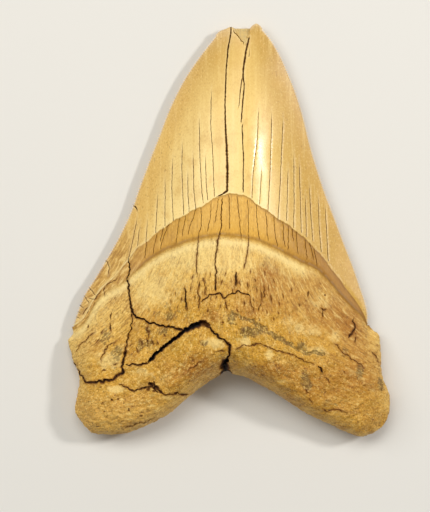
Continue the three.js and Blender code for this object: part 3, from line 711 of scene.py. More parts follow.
# %% The flake's shape
FLAKE_FOOT = np.column_stack([np.linspace(1.3, 5.1, 14), np.linspace(62.5, 57.2, 14)])
FLAKE_WALL = through([(52, 4.75), (57.2, 5.6), (60.1, 6.2), (64, 6.75)])  # x from y
FLAKE_SLOPE, FLAKE_DEPTH = 2.2, 0.85
FLAKE_WALL_WIDTH = 0.15
FLAKE_LOWEST_Y, FLAKE_LEFT_X = 56.5, 1


def flake_depth(plan):
    """How much of the tip is missing above each point."""
    x, y = plan.T
    foot_start, foot_end = FLAKE_FOOT[0], FLAKE_FOOT[-1]
    run = (foot_end - foot_start) / np.linalg.norm(foot_end - foot_start)
    beyond = (plan - foot_start) @ np.array([-run[1], run[0]])
    wall = np.clip((FLAKE_WALL(y) - x) / FLAKE_WALL_WIDTH, 0, 1)
    rough = 0.14 * np.sin(5.1 * x + 2.3 * y) * np.sin(4.3 * y - 1.7 * x)
    rough = rough + 0.1 * np.sin(2.1 * x - 7.3 * y)
    floor = FLAKE_DEPTH + 0.12 * (y - 60) + rough
    at_the_tip = (y > FLAKE_LOWEST_Y) & (x > FLAKE_LEFT_X)
    return np.clip(np.minimum(FLAKE_SLOPE * beyond, floor), 0, None) * wall * at_the_tip


print("the flake is about", FLAKE_DEPTH, "mm deep")

# %% Ragged paths
STEP = 0.38  # drawn millimetres from one point of a path to the next
LEAST_WIDTH_SHARE = 0.1  # of its full width, at the ends of a path
ragged_rng = np.random.default_rng(7)


def ragged(path, raggedness, width_swing, patchiness, taper):
    """The path in short uneven steps, with what each step needs to know."""
    path = np.array([(*point, 1)[:4] for point in path], dtype=float)
    lengths = np.concatenate([[0], np.cumsum(np.hypot(*np.diff(path[:, :2], axis=0).T))])
    count = max(6, round(lengths[-1] / STEP) + 1)
    marks = np.linspace(0, lengths[-1], count)
    x, y, width, shade = (np.interp(marks, lengths, path[:, i]) for i in range(4))
    tangent = np.column_stack([np.gradient(x), np.gradient(y)])
    tangent /= np.linalg.norm(tangent, axis=1)[:, None]
    left = np.column_stack([-tangent[:, 1], tangent[:, 0]])
    wobble = ragged_rng.normal(size=count)
    wobble = np.convolve(np.pad(wobble, 1, mode="edge"), [0.4, 1, 0.4], mode="valid") / 1.15
    swing = 1 + width_swing * ragged_rng.uniform(-1, 1, count)
    to_an_end = np.minimum(marks / taper[0], (lengths[-1] - marks) / taper[1])
    return {
        "centre": np.column_stack([x, y]) + left * (wobble * raggedness)[:, None],
        "half": 0.5 * width * swing * np.clip(to_an_end, LEAST_WIDTH_SHARE, 1),
        "left": left,
        "fade": smoothstep(to_an_end, 0, 1),
        "patchy": shade * (1 - patchiness * ragged_rng.uniform(0, 1, count)),
    }


def groove(
    depth, path, raggedness=0.1, dark=1.0, taper=(0.7, 0.7), wide=False, patchiness=0.3, swing=0.25
):
    """A crack as the tools below take it. It thins out over the two lengths in taper."""
    course = ragged(path, raggedness, swing, patchiness, taper)
    return {"depth": depth, "dark": dark, "wide": wide, **course}


def hairline(depth, width, path, raggedness=0.06, dark=0.7, taper=(1.5, 1.5), patchiness=0.4):
    """A narrow crack of one width."""
    widened = [(x, y, width) for x, y in path]
    return groove(depth, widened, raggedness, dark, taper, patchiness=patchiness)


SPINDLE_END = 0.1  # width of a short stroke at both its ends


def stroke(start_x, start_y, end_x, end_y, width, dark=0.8):
    """A short dark spindle, widest in its middle."""
    middle = ((start_x + end_x) / 2, (start_y + end_y) / 2, width)
    run_in = 0.5 * math.dist((start_x, start_y), (end_x, end_y))
    spindle = [(start_x, start_y, SPINDLE_END), middle, (end_x, end_y, SPINDLE_END)]
    return groove(width, spindle, 0.08, dark, (run_in, run_in))


def fissure(x, y, half_length, width):
    """A short dark spindle along the fibres of the root."""
    lean = 0.12 * half_length * np.sign(x)
    return stroke(x - lean, y + half_length, x + lean, y - half_length, width, 0.6)


print("paths are cut into steps of", STEP, "mm")

# %% All cracks, in the order in which they draw their raggedness
shoulder_break = groove(SHOULDER_BREAK_DEPTH, SHOULDER_BREAK, 0.18, 0.85, swing=0.5)
fragment_break = groove(FRAGMENT_BREAK_DEPTH, FRAGMENT_BREAK, 0.2, 0.85, swing=0.55)
wide_break = groove(WIDE_BREAK_DEPTH, WIDE_BREAK, 0.16, wide=True, patchiness=0, swing=0.3)
breaks = [
    groove(depth, path, 0.03, 0.85, (1.2, 1.2), patchiness=0.15) for depth, path in CROWN_BREAKS
]
breaks += [
    groove(depth, path, 0.13, min(0.9, 0.5 + 0.3 * depth), swing=0.35)
    for depth, path in ROOT_BREAKS
]
breaks += [groove(depth, path, 0.13, dark, swing=0.35) for depth, dark, path in NOTCH_BREAKS]
fissures = [fissure(*spindle) for spindle in FISSURES]
fissures += [stroke(*ends) for ends in LEANING_STROKES]
shallow_channel = groove(0.45, CHANNEL, 0.25, patchiness=0)
hairlines = [hairline(0.03, 0.28, path, 0.03, 0.95, (5, 0.3), 0.2) for path in ENAMEL_HAIRLINES]
hairlines += [hairline(0.22, 0.26, path, 0.06, 0.75, (0.4, 1), 0.3) for path in NECK_CRACKS]
hairlines += [hairline(0.35, 0.3, path, 0.17, 0.6, patchiness=0.6) for path in ROOT_CRACKS]
hairlines += [hairline(0.2, 0.3, path, 0.1, 0.85, (0.5, 1.2), 0.3) for path in SHOULDER_CRACKS]
inner_grooves = [wide_break, shoulder_break, fragment_break, *breaks, *fissures, *hairlines]
outer_grooves = [
    hairline(0.05, 0.24, path, 0.04, 0.85, (6, 2), 0.25) for path in OUTER_ENAMEL_CRACKS
]
outer_grooves += [
    hairline(0.3, 0.3, path, 0.2, 0.75, patchiness=0.5) for path in OUTER_ROOT_CRACKS
]
print(len(inner_grooves), "cracks in the inner face and", len(outer_grooves), "in the outer one")

# %% [markdown]
# ## Pits listed one by one
# A few pits stand out enough to be placed one by one: a cluster in the left lobe and some
# pinholes. Each is a shallow oval bowl.

# %% Pits as (x, y, half width, half height, depth)
PITS = [
    (-23.7, -47.4, 1.1, 0.7, 0.9), (-22.2, -48.4, 0.9, 0.8, 0.9), (-24.8, -48.8, 0.7, 0.5, 0.6),
    (-21, -49.5, 0.6, 0.5, 0.6), (-23, -49.4, 0.8, 0.4, 0.5), (-16.3, -50, 0.5, 0.45, 0.7),
    (-14.1, -50.9, 0.45, 0.35, 0.6), (29.6, -20.1, 0.3, 0.3, 0.3),
    (-35.9, -52.1, 0.35, 0.35, 0.5), (-34, -52, 0.3, 0.3, 0.4), (-30.7, -55.3, 0.3, 0.8, 0.4),
    (-26.9, -57.2, 0.7, 0.4, 0.35), (-38.3, -55.8, 0.4, 0.3, 0.4), (-31.9, -37.9, 0.5, 0.8, 1.2),
    (35.3, -43.6, 0.4, 0.3, 0.3), (-43.6, -29.8, 0.4, 0.7, 0.3),
    (8, -41.8, 0.5, 0.3, 0.3), (47, -49.5, 0.35, 0.5, 0.3), (-1.9, -28.3, 0.4, 0.4, 0.35),
]


def bowl(plan, pit):
    """1 at the middle of a pit, 0 outside it."""
    x, y, half_width, half_height = pit[:4]
    spread = ((plan[:, 0] - x) / half_width) ** 2 + ((plan[:, 1] - y) / half_height) ** 2
    return np.clip(1 - spread, 0, 1)


PIT_CORNERS = 12


def ring_points(pit):
    """Extra vertices, so that a small bowl comes out round."""
    x, y, half_width, half_height = pit[:4]
    turns = np.arange(PIT_CORNERS) * math.tau / PIT_CORNERS
    circle = np.column_stack([np.cos(turns), np.sin(turns)])
    oval = circle * (half_width, half_height)
    return np.vstack([[(x, y)], (x, y) + 0.5 * oval[::2], (x, y) + oval])


print(len(PITS), "pits placed by hand")

# %% [markdown]
# ## How deep each point lies in a crack
# For every point the nearest segment of each crack gives the distance from its middle, as a
# share of its half width. A narrow crack is a V. The wide break has a steep upper wall and a
# gentler lower one, which is the wall that catches the light.

# %% Depth of the grooves
SEARCH_MARGIN = 1.5
FAR = 9.0  # what groove_share and clearance say where no crack is near
STEEP_WALL = 0.35  # the upper wall of the wide break, as a share of its half width
PIT_SHADE = 0.45
WIDE_BREAK_WALL = [(-1, -0.5, 0.3, 1), (0, 0.2, 1, 1)]  # across the break, and share of its depth
WIDE_BREAK_SHADE = [(-1, -0.5, 0, 1), (0.1, 0.3, 1, 1)]


def groove_share(plan, crack):
    """How far across the crack each point lies: 0 in its middle, 1 or -1 on its lips, positive
    on its left side. Also the half width, the fade and the patchiness there, as columns."""
    share = np.full(len(plan), FAR)
    there = np.ones((len(plan), 3))
    centre = crack["centre"]
    facts = np.column_stack([crack["half"], crack["fade"], crack["patchy"]])
    low_corner, high_corner = centre.min(axis=0) - SEARCH_MARGIN, centre.max(axis=0) + SEARCH_MARGIN
    close = np.flatnonzero(np.all((plan > low_corner) & (plan < high_corner), axis=1))
    if len(close) == 0:
        return share, there
    points = plan[close]
    nearest = np.full(len(close), math.inf)
    for a, b, facts_a, facts_b in zip(centre[:-1], centre[1:], facts[:-1], facts[1:]):
        run = b - a
        t = np.clip((points - a) @ run / (run @ run), 0, 1)
        gap = points - a - t[:, None] * run
        distance = np.hypot(gap[:, 0], gap[:, 1])
        better = distance < nearest
        nearest[better] = distance[better]
        between_both = mix(facts_a, facts_b, t[:, None])
        side = np.sign(run[0] * gap[:, 1] - run[1] * gap[:, 0])
        share[close[better]] = (side * distance / between_both[:, 0])[better]
        there[close[better]] = between_both[better]
    return share, there


def groove_profile(share, wide):
    """1 at the deepest line of a crack and 0 from its lips outwards."""
    if not wide:
        return np.clip(1 - np.abs(share), 0, 1)
    upper = np.clip((1 - share) / STEEP_WALL, 0, 1)
    lower = np.interp(share, *WIDE_BREAK_WALL)
    return np.where(np.abs(share) < 1, np.minimum(upper, lower), 0)


def carved(plan, cracks, pits):
    """How deep each point lies in the cracks and pits, and how dark it is there, 0 to 1."""
    depth, dark = np.zeros(len(plan)), np.zeros(len(plan))
    for crack in cracks:
        share, there = groove_share(plan, crack)
        profile = groove_profile(share, crack["wide"])
        depth = np.maximum(depth, profile * crack["depth"] * there[:, 1] ** 2)
        if crack["wide"]:
            profile = np.where(np.abs(share) < 1, np.interp(share, *WIDE_BREAK_SHADE), 0)
        shade = np.clip(profile * (1 + there[:, 0]), 0, 1) * crack["dark"]
        dark = np.maximum(dark, shade * there[:, 1] * there[:, 2])
    for pit in pits:
        inside = bowl(plan, pit)
        depth = depth + pit[4] * inside
        dark = np.maximum(dark, PIT_SHADE * inside)
    return depth, dark


def clearance(plan, cracks):
    """Distance from each point to the nearest lip of a crack, negative inside the crack."""
    gap = np.full(len(plan), FAR)
    for crack in cracks:
        share, there = groove_share(plan, crack)
        to_its_lip = (np.abs(share) - 1) * there[:, 0]
        gap = np.where(np.abs(share) < FAR - 1, np.minimum(gap, to_its_lip), gap)
    return gap


print("the wide break is", WIDE_BREAK_DEPTH, "mm deep")

# %% [markdown]
# ## Triangles that follow the features
# A regular grid would cut across the cracks and blur them. Instead the lips and the middle of
# each crack, and the edges of enamel and neck band, are handed to a constrained Delaunay
# triangulation as lines that must become edges. Everywhere else a triangular lattice fills
# the face, and along the rim rings of vertices climb the rounded side.

# %% Rings, lattice and lines of vertices
RING_COUNT = 9
STEEPEST_RING_TURN = math.radians(60)
BLADE_RING_REACH = 1.05
ROOT_LATTICE, CROWN_LATTICE, OUTER_ROOT_LATTICE, OUTER_CROWN_LATTICE = 0.42, 0.75, 0.85, 1.1
OUTER_RING_COUNT = 7
TISSUE_LEFT_X, TISSUE_RIGHT_X = -49, 46  # where the lines between the tissues start and end


def ring_offsets(width_function, rings):
    """Distance from the rim to each ring, for each step of the rim."""
    share = np.linspace(0, 1, rings)[:, None]
    blade = BLADE_RING_REACH * share ** 1.4
    width = width_function(rim[:, 0], rim[:, 1])[None, :]
    side = width * (1 - np.cos(share * STEEPEST_RING_TURN))
    return mix(blade, side, rootward(rim[:, 1])[None, :])


def lattice(spacing):
    """A triangular lattice over the tooth's box."""
    rows = np.arange(-65, 65, spacing * math.sqrt(0.75))
    columns = np.arange(-51, 51, spacing)
    x, y = np.meshgrid(columns, rows)
    x = x + np.where(np.arange(len(rows)) % 2, spacing / 2, 0)[:, None]
    return np.column_stack([x.ravel(), y.ravel()])


def two_lattices(line, root_spacing, crown_spacing):
    """A fine lattice below a line and a coarse one above it, with the spacing at each point."""
    fine, coarse = lattice(root_spacing), lattice(crown_spacing)
    fine = fine[fine[:, 1] < line(fine[:, 0])]
    coarse = coarse[coarse[:, 1] >= line(coarse[:, 0])]
    spacing = np.repeat([root_spacing, crown_spacing], [len(fine), len(coarse)])
    return np.vstack([fine, coarse]), spacing


def inside_outline(plan):
    x, y = plan.T
    within = (x > left_side(y)) & (x < right_side(y)) & (y > bottom_edge(x))
    within &= (x > BOTTOM_LEFT_X) | (y > BOTTOM_CORNER_Y)
    under_tip = (y < tip_edge(x)) | (y < LEFT_TIP[1])
    return within & under_tip


def crack_lines(crack):
    """The middle and both lips of a crack, and the foot of each wall of a wide one."""
    shares = [-1, -0.5, 0, 0.3, 0.65, 1] if crack["wide"] else [-1, 0, 1]
    offset = crack["left"] * crack["half"][:, None]
    lines = [crack["centre"] + share * offset for share in shares]
    return [line if abs(share) < 0.01 else line[1:-1] for share, line in zip(shares, lines)]


def step_lines(line, start, end):
    """Both edges of the short ramp between two tissues."""
    middle = even_steps(line_points(line, start, end), STEP)
    return [middle + (0, offset) for offset in ENAMEL_EDGE]


def kept_runs(line, keep):
    """The stretches of a line whose points are kept."""
    breaks_at = np.flatnonzero(~keep)
    runs = np.split(np.arange(len(line)), breaks_at)
    runs = [run[keep[run]] for run in runs]
    return [line[run] for run in runs if len(run) > 1]


print("the finest lattice has", len(lattice(ROOT_LATTICE)), "points")

# %% Triangulate one face
MERGE_WITHIN = 1e-4
LEAST_AREA = 1e-7


def triangulated(points, lines):
    """Triangles inside the rim: the plan of every vertex, its step of the rim or -1, and the
    triangles, anticlockwise."""
    edges = [(i, (i + 1) % len(rim)) for i in range(len(rim))]
    stacked = [rim]
    total = len(rim)
    for line in lines:
        edges += [(total + i, total + i + 1) for i in range(len(line) - 1)]
        stacked.append(line)
        total += len(line)
    stacked.append(points)
    plan_in = np.vstack(stacked)
    loop = list(range(len(rim)))
    corners = [Vector(point) for point in plan_in]
    result = delaunay_2d_cdt(corners, edges, [loop], 1, MERGE_WITHIN)
    vertices, faces, origins = result[0], result[2], result[3]
    plan = np.array([(v.x, v.y) for v in vertices])
    rim_step = np.array([min(origin, default=total) for origin in origins])
    rim_step = np.where(rim_step < len(rim), rim_step, -1)
    triangles = np.array(faces)
    a, b, c = (plan[triangles[:, i]] for i in range(3))
    area = (b - a)[:, 0] * (c - a)[:, 1] - (b - a)[:, 1] * (c - a)[:, 0]
    triangles[area < 0] = triangles[area < 0][:, ::-1]
    return plan, rim_step, triangles[np.abs(area) > LEAST_AREA]


print("vertices nearer than", MERGE_WITHIN, "mm are merged")

# %% Both faces
RING_KEPT_FROM = 0.85  # share of its own distance that a ring's vertex has to keep from the rim
LATTICE_TO_RINGS, LATTICE_TO_CRACKS = 0.35, 0.3  # in lattice spacings
RING_TO_CRACKS = 0.1
RING_TO_TISSUE_LINES, LATTICE_TO_TISSUE_LINES = 0.3, 0.4
PIT_POINT_SPACING = 0.1
LINE_TO_RIM = 0.1


def face_mesh(cracks, pits, tissue_lines, extra_lines, spacings, rings, width_function):
    """The triangles of one face, with no free vertex too near to a crack, a line or the rim."""
    offsets = ring_offsets(width_function, rings)
    ringed = np.concatenate([rim + inward * row[:, None] for row in offsets[1:]])
    ring_depth = np.concatenate(list(offsets[1:]))
    loose, spacing = two_lattices(tissue_lines[-1], *spacings)
    pit_rings = [ring_points(pit) for pit in pits]
    candidates = np.vstack([ringed, loose, *pit_rings])
    pit_spacing = np.full(sum(len(points) for points in pit_rings), PIT_POINT_SPACING)
    spacing = np.concatenate([spacing, pit_spacing])
    step_index, distance = nearest_on_rim(candidates)
    keep = inside_outline(candidates)
    is_ring = np.arange(len(candidates)) < len(ringed)
    innermost_ring = offsets[-1][step_index[~is_ring]]
    keep[is_ring] &= distance[is_ring] > RING_KEPT_FROM * ring_depth
    keep[~is_ring] &= distance[~is_ring] > innermost_ring + LATTICE_TO_RINGS * spacing
    room = clearance(candidates, cracks)
    keep[is_ring] &= room[is_ring] > RING_TO_CRACKS
    keep[~is_ring] &= room[~is_ring] > LATTICE_TO_CRACKS * spacing
    gap_to_lines = np.where(is_ring, RING_TO_TISSUE_LINES, LATTICE_TO_TISSUE_LINES)
    for line in tissue_lines:
        keep &= np.abs(candidates[:, 1] - line(candidates[:, 0])) > gap_to_lines
    lines = [part for crack in cracks for part in crack_lines(crack)]
    for line in tissue_lines:
        lines += step_lines(line, TISSUE_LEFT_X, TISSUE_RIGHT_X)
    lines += extra_lines
    kept_lines = []
    for line in lines:
        gap = nearest_on_rim(line)[1]
        kept_lines += kept_runs(line, inside_outline(line) & (gap > LINE_TO_RIM))
    return triangulated(candidates[keep], kept_lines)


inner_plan, inner_step, inner_triangles = face_mesh(
    inner_grooves, PITS, [enamel_line, neck_line], [FLAKE_FOOT], (ROOT_LATTICE, CROWN_LATTICE),
    RING_COUNT, front_rounding,
)
outer_plan, outer_step, outer_triangles = face_mesh(
    outer_grooves, [], [outer_line], [], (OUTER_ROOT_LATTICE, OUTER_CROWN_LATTICE),
    OUTER_RING_COUNT, back_rounding,
)
print("inner face:", len(inner_triangles), "triangles, outer face:", len(outer_triangles))

# %% [markdown]
# ## From plan to solid
# Each vertex gets its height: the face's own height, rounded down to the rim at the side,
# less the depth of any crack there. The left fragment of the broken lobe stands a little
# proud, because it was pushed up when the root broke.

# %% Heights of all vertices
FRAGMENT_RISE = 0.55
LOWEST_CRACK_FLOOR = 2.7  # above the table, so that no crack cuts through
fragment_edge = np.vstack([
    shoulder_break["centre"][shoulder_break["centre"][:, 1] > -25.4], fragment_break["centre"],
    [(-60, -38), (-60, -8)],
])


def inside_polygon(plan, corners):
    inside = np.zeros(len(plan), dtype=bool)
    x, y = plan.T
    for (ax, ay), (bx, by) in zip(corners, np.roll(corners, -1, axis=0)):
        if ay == by:
            continue
        crosses = (ay > y) != (by > y)
        inside ^= crosses & (x < (bx - ax) * (y - ay) / (by - ay) + ax)
    return inside


def fragment_rise(plan):
    share = smoothstep(-plan[:, 1], 10, 34)
    return FRAGMENT_RISE * share * inside_polygon(plan, fragment_edge)


def channel_profile(plan):
    """How deep each point lies in the shallow channel across the right half of the root."""
    return groove_profile(groove_share(plan, shallow_channel)[0], wide=False)


def inner_heights(plan, distance):
    x, y = plan.T
    depth, dark = carved(plan, inner_grooves, PITS)
    depth = depth + shallow_channel["depth"] * channel_profile(plan) + flake_depth(plan)
    edge = rounded_edge(distance, front_rounding(x, y))
    height = mix(rim_height(x, y), inner_height(x, y) + fragment_rise(plan), edge)
    height = np.minimum(height, high[2] / UNIT)
    floor = np.minimum(height, LOWEST_CRACK_FLOOR)
    return np.maximum(height - depth, floor), dark


def outer_heights(plan, distance, rim_there):
    x, y = plan.T
    depth, dark = carved(plan, outer_grooves, [])
    edge = rounded_edge(distance, back_rounding(x, y))
    return mix(rim_there, outer_height(x, y) + depth, edge), dark


rim_z, rim_dark = inner_heights(rim, np.zeros(len(rim)))
inner_nearest, inner_distance = nearest_on_rim(inner_plan)
outer_nearest, outer_distance = nearest_on_rim(outer_plan)
inner_z, inner_dark = inner_heights(inner_plan, np.where(inner_step >= 0, 0, inner_distance))
outer_z, outer_dark = outer_heights(
    outer_plan, np.where(outer_step >= 0, 0, outer_distance), rim_z[outer_nearest]
)
print("heights from", round(float(outer_z.min()), 3), "to", round(float(inner_z.max()), 2), "mm")

# %% Join both faces along the rim
def numbered(step, first_new):
    """The vertex number of each plan point: its step of the rim, or a new number."""
    fresh = step < 0
    numbers = step.copy()
    numbers[fresh] = first_new + np.arange(fresh.sum())
    return numbers, first_new + int(fresh.sum())


inner_number, after_inner = numbered(inner_step, len(rim))
outer_number, vertex_count = numbered(outer_step, after_inner)


def gathered(rim_values, inner_values, outer_values):
    """One value for each vertex of the joined mesh."""
    values = np.zeros((vertex_count,) + np.shape(rim_values)[1:])
    values[outer_number] = outer_values
    values[inner_number] = inner_values
    values[: len(rim)] = rim_values
    return values


plan = gathered(rim, inner_plan, outer_plan)
height = gathered(rim_z, inner_z, outer_z)
dark = gathered(rim_dark, inner_dark, outer_dark)
triangles = np.vstack([inner_number[inner_triangles], outer_number[outer_triangles][:, ::-1]])
positions = np.column_stack([plan, height]) * UNIT

mesh = bpy.data.meshes.new("tooth_surface")
mesh.from_pydata(positions.tolist(), [], triangles.tolist())
mesh.update()
tooth = bpy.data.objects.new("fossil_tooth", mesh)
bpy.context.collection.objects.link(tooth)
print("tooth:", len(mesh.vertices), "vertices,", len(mesh.polygons), "triangles")

# %% [markdown]
# ## What each place is made of, and where light and shade are painted
# The material needs to know where it is: on enamel, neck band or root, near a crack, on a stain,
# or where light or shade is painted. A painted picture could say so, but it would need a file.
# Attributes on the vertices say it just as well, and Blender blends them between vertices.

# %% Stains and a polished spot, as (x, y, half width, half height, strength)
ORANGE_STAINS = [
    (11.2, -14.3, 3.8, 5, 0.95), (-5.3, -26.4, 3.2, 2.2, 0.7), (-31, -55, 10, 5, 0.45),
    (30, -48, 15, 8, 0.65), (13, -43, 9, 3.2, 0.8), (-9, -42.5, 8, 4.5, 0.8),
    (-17, -45, 6, 4, 0.5), (42, -42, 7, 7, 0.5), (6, -24, 6, 3.5, 0.7), (-43, -55, 4, 5, 0.4),
    (26, -26, 8, 6, 0.6), (35, -26.5, 6, 6, 0.7), (17, -21, 7, 5, 0.55), (24, -16.5, 6, 4, 0.5),
    (14, -15, 5, 4.5, 0.7), (39, -34, 5, 5, 0.5), (39, -27.5, 5, 4.5, 0.9),
    (33.5, -21.5, 4, 3.4, 0.8), (30, -17, 3, 2.4, 0.6), (3.6, -17.4, 4.5, 4, 0.5),
]
GREY_STAINS = [
    (-19.2, -25.2, 2.2, 2.8, 0.5), (-22.3, -26.2, 1.2, 1.6, 0.5), (-17.2, -26.6, 2.2, 1.3, 0.5),
    (-15.2, -24.9, 0.9, 1, 0.7), (-34.3, -37.6, 2.2, 2.8, 0.7), (0.9, -27, 1.8, 3.2, 0.7),
    (5.5, -31.5, 2.8, 2, 0.7), (8.5, -30.5, 2.2, 1.5, 0.6), (22.9, -45.6, 1.6, 3, 0.75),
    (24.4, -47.6, 1, 1.6, 0.7), (40.3, -43.4, 1.4, 3.4, 0.65), (47.1, -47.7, 1.2, 3.4, 0.6),
    (-27.4, -35.6, 1.4, 2.6, 0.6), (-25, -30.9, 0.9, 1.1, 0.9), (-24.4, -35, 1.8, 1.6, 0.6),
    (-38, -33, 2.2, 3.4, 0.4), (31, -53, 3.5, 1.5, 0.4), (44, -55.5, 2.6, 2.4, 0.35),
    (-20.5, -31, 2.6, 1.6, 0.5), (3, -49, 4, 1.5, 0.4), (36, -36, 2.4, 1.8, 0.3),
    (16, -43.5, 5, 1.8, 0.35), (29, -45, 4, 2, 0.3), (-8, -27.5, 3, 1, 0.3),
    (22, -35.4, 3, 1.4, 0.6), (-4.6, -41.8, 1.8, 1.2, 0.5), (-7.6, -34.6, 1.8, 1.2, 0.5),
]
CREAM_STAINS = [
    (-5.3, -8.4, 17, 6, 0.8), (-41.5, -25, 6, 8, 0.4), (-4.3, -34.4, 3.4, 2, 0.9),
    (5, -34.1, 2, 1.8, 1), (12.1, -38.1, 1.4, 1.7, 0.9), (-34.7, -48.9, 3, 1.2, 0.9),
    (20, -12, 7, 3.4, 0.55), (-27, -18, 4, 8, 0.65), (-37, -40, 6, 4, 0.6), (27, -37, 5, 1.6, 0.6),
    (-26, -44, 5, 1.8, 0.5), (29, -21, 5, 3.4, 0.45), (-19, -51.5, 3, 0.8, 0.7),
    (16, -46.4, 3, 0.8, 0.5), (-22, -18, 5, 6, 0.5), (33, -33, 3, 2.4, 0.45), (20, -29, 5, 3, 0.5),
    (26, -31, 4, 2.4, 0.45), (-18.5, -18, 8, 6, 0.4),
]
POLISHED_SPOTS = [(10.2, 23.2, 7, 5.8, 1)]


def stained(plan, stains):
    """How strongly the listed stains colour each point."""
    clear = np.ones(len(plan))
    for x, y, half_width, half_height, strength in stains:
        spread = ((plan[:, 0] - x) / half_width) ** 2 + ((plan[:, 1] - y) / half_height) ** 2
        clear *= 1 - strength * np.exp(-(spread ** 1.5))
    return 1 - clear


print(len(ORANGE_STAINS + GREY_STAINS + CREAM_STAINS), "stains placed by hand")

# %% Attributes for both faces
ROOT_COLOUR_EDGE = (-0.2, -0.8)  # the root's colour starts between these offsets from its line
FULLY_BELOW = 30  # from here on below the neck line the root counts as fully below it
CRACK_HALO = 0.9
SMOOTH_BEAD = 0.3  # the painted shine of the rim where it has no serrations


def face_attributes(face_plan, nearest, distance, cracks, enamel_edge, neck_edge, stains_apply):
    """The attributes of one face. The outer face has no neck band, so both lines are one. The
    second number of each bell is its width in drawn millimetres."""
    x, y = face_plan.T
    run = blade_run[nearest]
    bead_wave = np.where(run >= 0, np.sin(math.pi * run / SERRATION_PITCH) ** 2, SMOOTH_BEAD)
    orange, grey, cream, polished = (
        stained(face_plan, stains) * stains_apply
        for stains in (ORANGE_STAINS, GREY_STAINS, CREAM_STAINS, POLISHED_SPOTS)
    )
    grey_channel = np.sqrt(channel_profile(face_plan)) * stains_apply
    band_height = np.maximum(enamel_edge(x) - neck_edge(x), 1)
    return {
        "enamel": above(enamel_edge, x, y, ENAMEL_EDGE),
        "root": 1 - above(neck_edge, x, y, ROOT_COLOUR_EDGE),
        "below_neck": np.clip((neck_edge(x) - y) / FULLY_BELOW, 0, 1),
        "side": across(x, y),
        # painted highlights along the rim, beaded where the rim is serrated
        "painted_rim_highlight": bell(distance, 0.6) * bead_wave,
        # a painted highlight on the enamel's lip, and painted shade under its step
        "painted_lip_highlight": bell(y - enamel_edge(x) - 0.3, 0.35),
        "step_shade": bell(y - enamel_edge(x) + 0.3, 0.28),
        # painted light along the root's rounded edges
        "painted_edge_light": bell(distance, 2.6),
        # painted shade in the groove above the root
        "painted_groove_shade": bell(y - neck_edge(x) - 0.1, 0.55) * (1 - smoothstep(-x, 25, 34)),
        "rough_left": smoothstep(-y, -6, 8) * smoothstep(-x, 23, 33),
        "band_share": np.clip((y - neck_edge(x)) / band_height, 0, 1),
        # the ledge below the groove: its pale chalk colour, with painted light where it faces the
        # lamps
        "ledge_chalk_and_light": bell(y - neck_edge(x) + 2.2, 1.5) * (1 - 0.9 * smoothstep(x, 17, 29)),
        "near_crack": np.clip(1 - clearance(face_plan, cracks) / CRACK_HALO, 0, 1),
        "orange_stain": orange,
        "grey_stain": np.maximum(grey, grey_channel),
        "cream_stain": cream,
        "polished": polished,
        "flake": np.clip(flake_depth(face_plan) * 2.5, 0, 1) * stains_apply,
    }


inner_facts = face_attributes(
    inner_plan, inner_nearest, inner_distance, inner_grooves, enamel_line, neck_line, 1
)
outer_facts = face_attributes(
    outer_plan, outer_nearest, outer_distance, outer_grooves, outer_line, outer_line, 0
)
rim_facts = face_attributes(
    rim, np.arange(len(rim)), np.zeros(len(rim)), inner_grooves, enamel_line, neck_line, 1
)


def store(surface, name, values):
    """Keeps one number for each vertex as a named attribute."""
    layer = surface.attributes.new(name, "FLOAT", "POINT")
    layer.data.foreach_set("value", np.ascontiguousarray(values, dtype=np.float32))


for name, rim_values in rim_facts.items():
    store(mesh, name, gathered(rim_values, inner_facts[name], outer_facts[name]))
store(mesh, "crack", dark)
print(len(rim_facts) + 1, "attributes stored")

# %% [markdown]
# ## Tools for node trees
# Geometry and materials are both trees of nodes here. A few small helpers keep them readable:
# one places a node and feeds it, and the others do sums, products and noise with it.

# %% Node helpers
def put(tree, kind, inputs=None, **options):
    """Adds a node, sets its options, and feeds its inputs with values or other nodes' outputs."""
    node = tree.nodes.new(kind)
    for name, value in options.items():
        setattr(node, name, value)
    for key, value in (inputs or {}).items():
        if isinstance(value, bpy.types.NodeSocket):
            tree.links.new(value, node.inputs[key])
        else:
            node.inputs[key].default_value = value
    return node


def maths(tree, operation, *values):
    return put(tree, "ShaderNodeMath", dict(enumerate(values)), operation=operation).outputs[0]


def combined(tree, operation, *values):
    """The sum or the product of several values, from left to right."""
    result = values[0]
    for value in values[1:]:
        result = maths(tree, operation, result, value)
    return result


def product(tree, *values):
    return combined(tree, "MULTIPLY", *values)


def summed(tree, *values):
    return combined(tree, "ADD", *values)


def ramped(tree, value, start, end, to_low=0.0, to_high=1.0):
    """The value taken smoothly from start..end to to_low..to_high."""
    inputs = {
        "Value": value, "From Min": start, "From Max": end, "To Min": to_low, "To Max": to_high,
    }
    return put(tree, "ShaderNodeMapRange", inputs, interpolation_type="SMOOTHSTEP").outputs[0]


def vector_maths(tree, operation, vector, other):
    inputs = {0: vector, 1: other}
    return put(tree, "ShaderNodeVectorMath", inputs, operation=operation).outputs[0]


def scaled_vector(tree, vector, factors):
    return vector_maths(tree, "MULTIPLY", vector, factors)


def noise(tree, vector, scale, detail=2.0, roughness=0.5, **inputs):
    fed = {"Vector": vector, "Scale": scale, "Detail": detail, "Roughness": roughness, **inputs}
    return put(tree, "ShaderNodeTexNoise", fed).outputs[0]


print("node helpers ready")

# %% Coordinates along the fibres
FIBRE_TURN_Y = -62  # the fibres would run level here


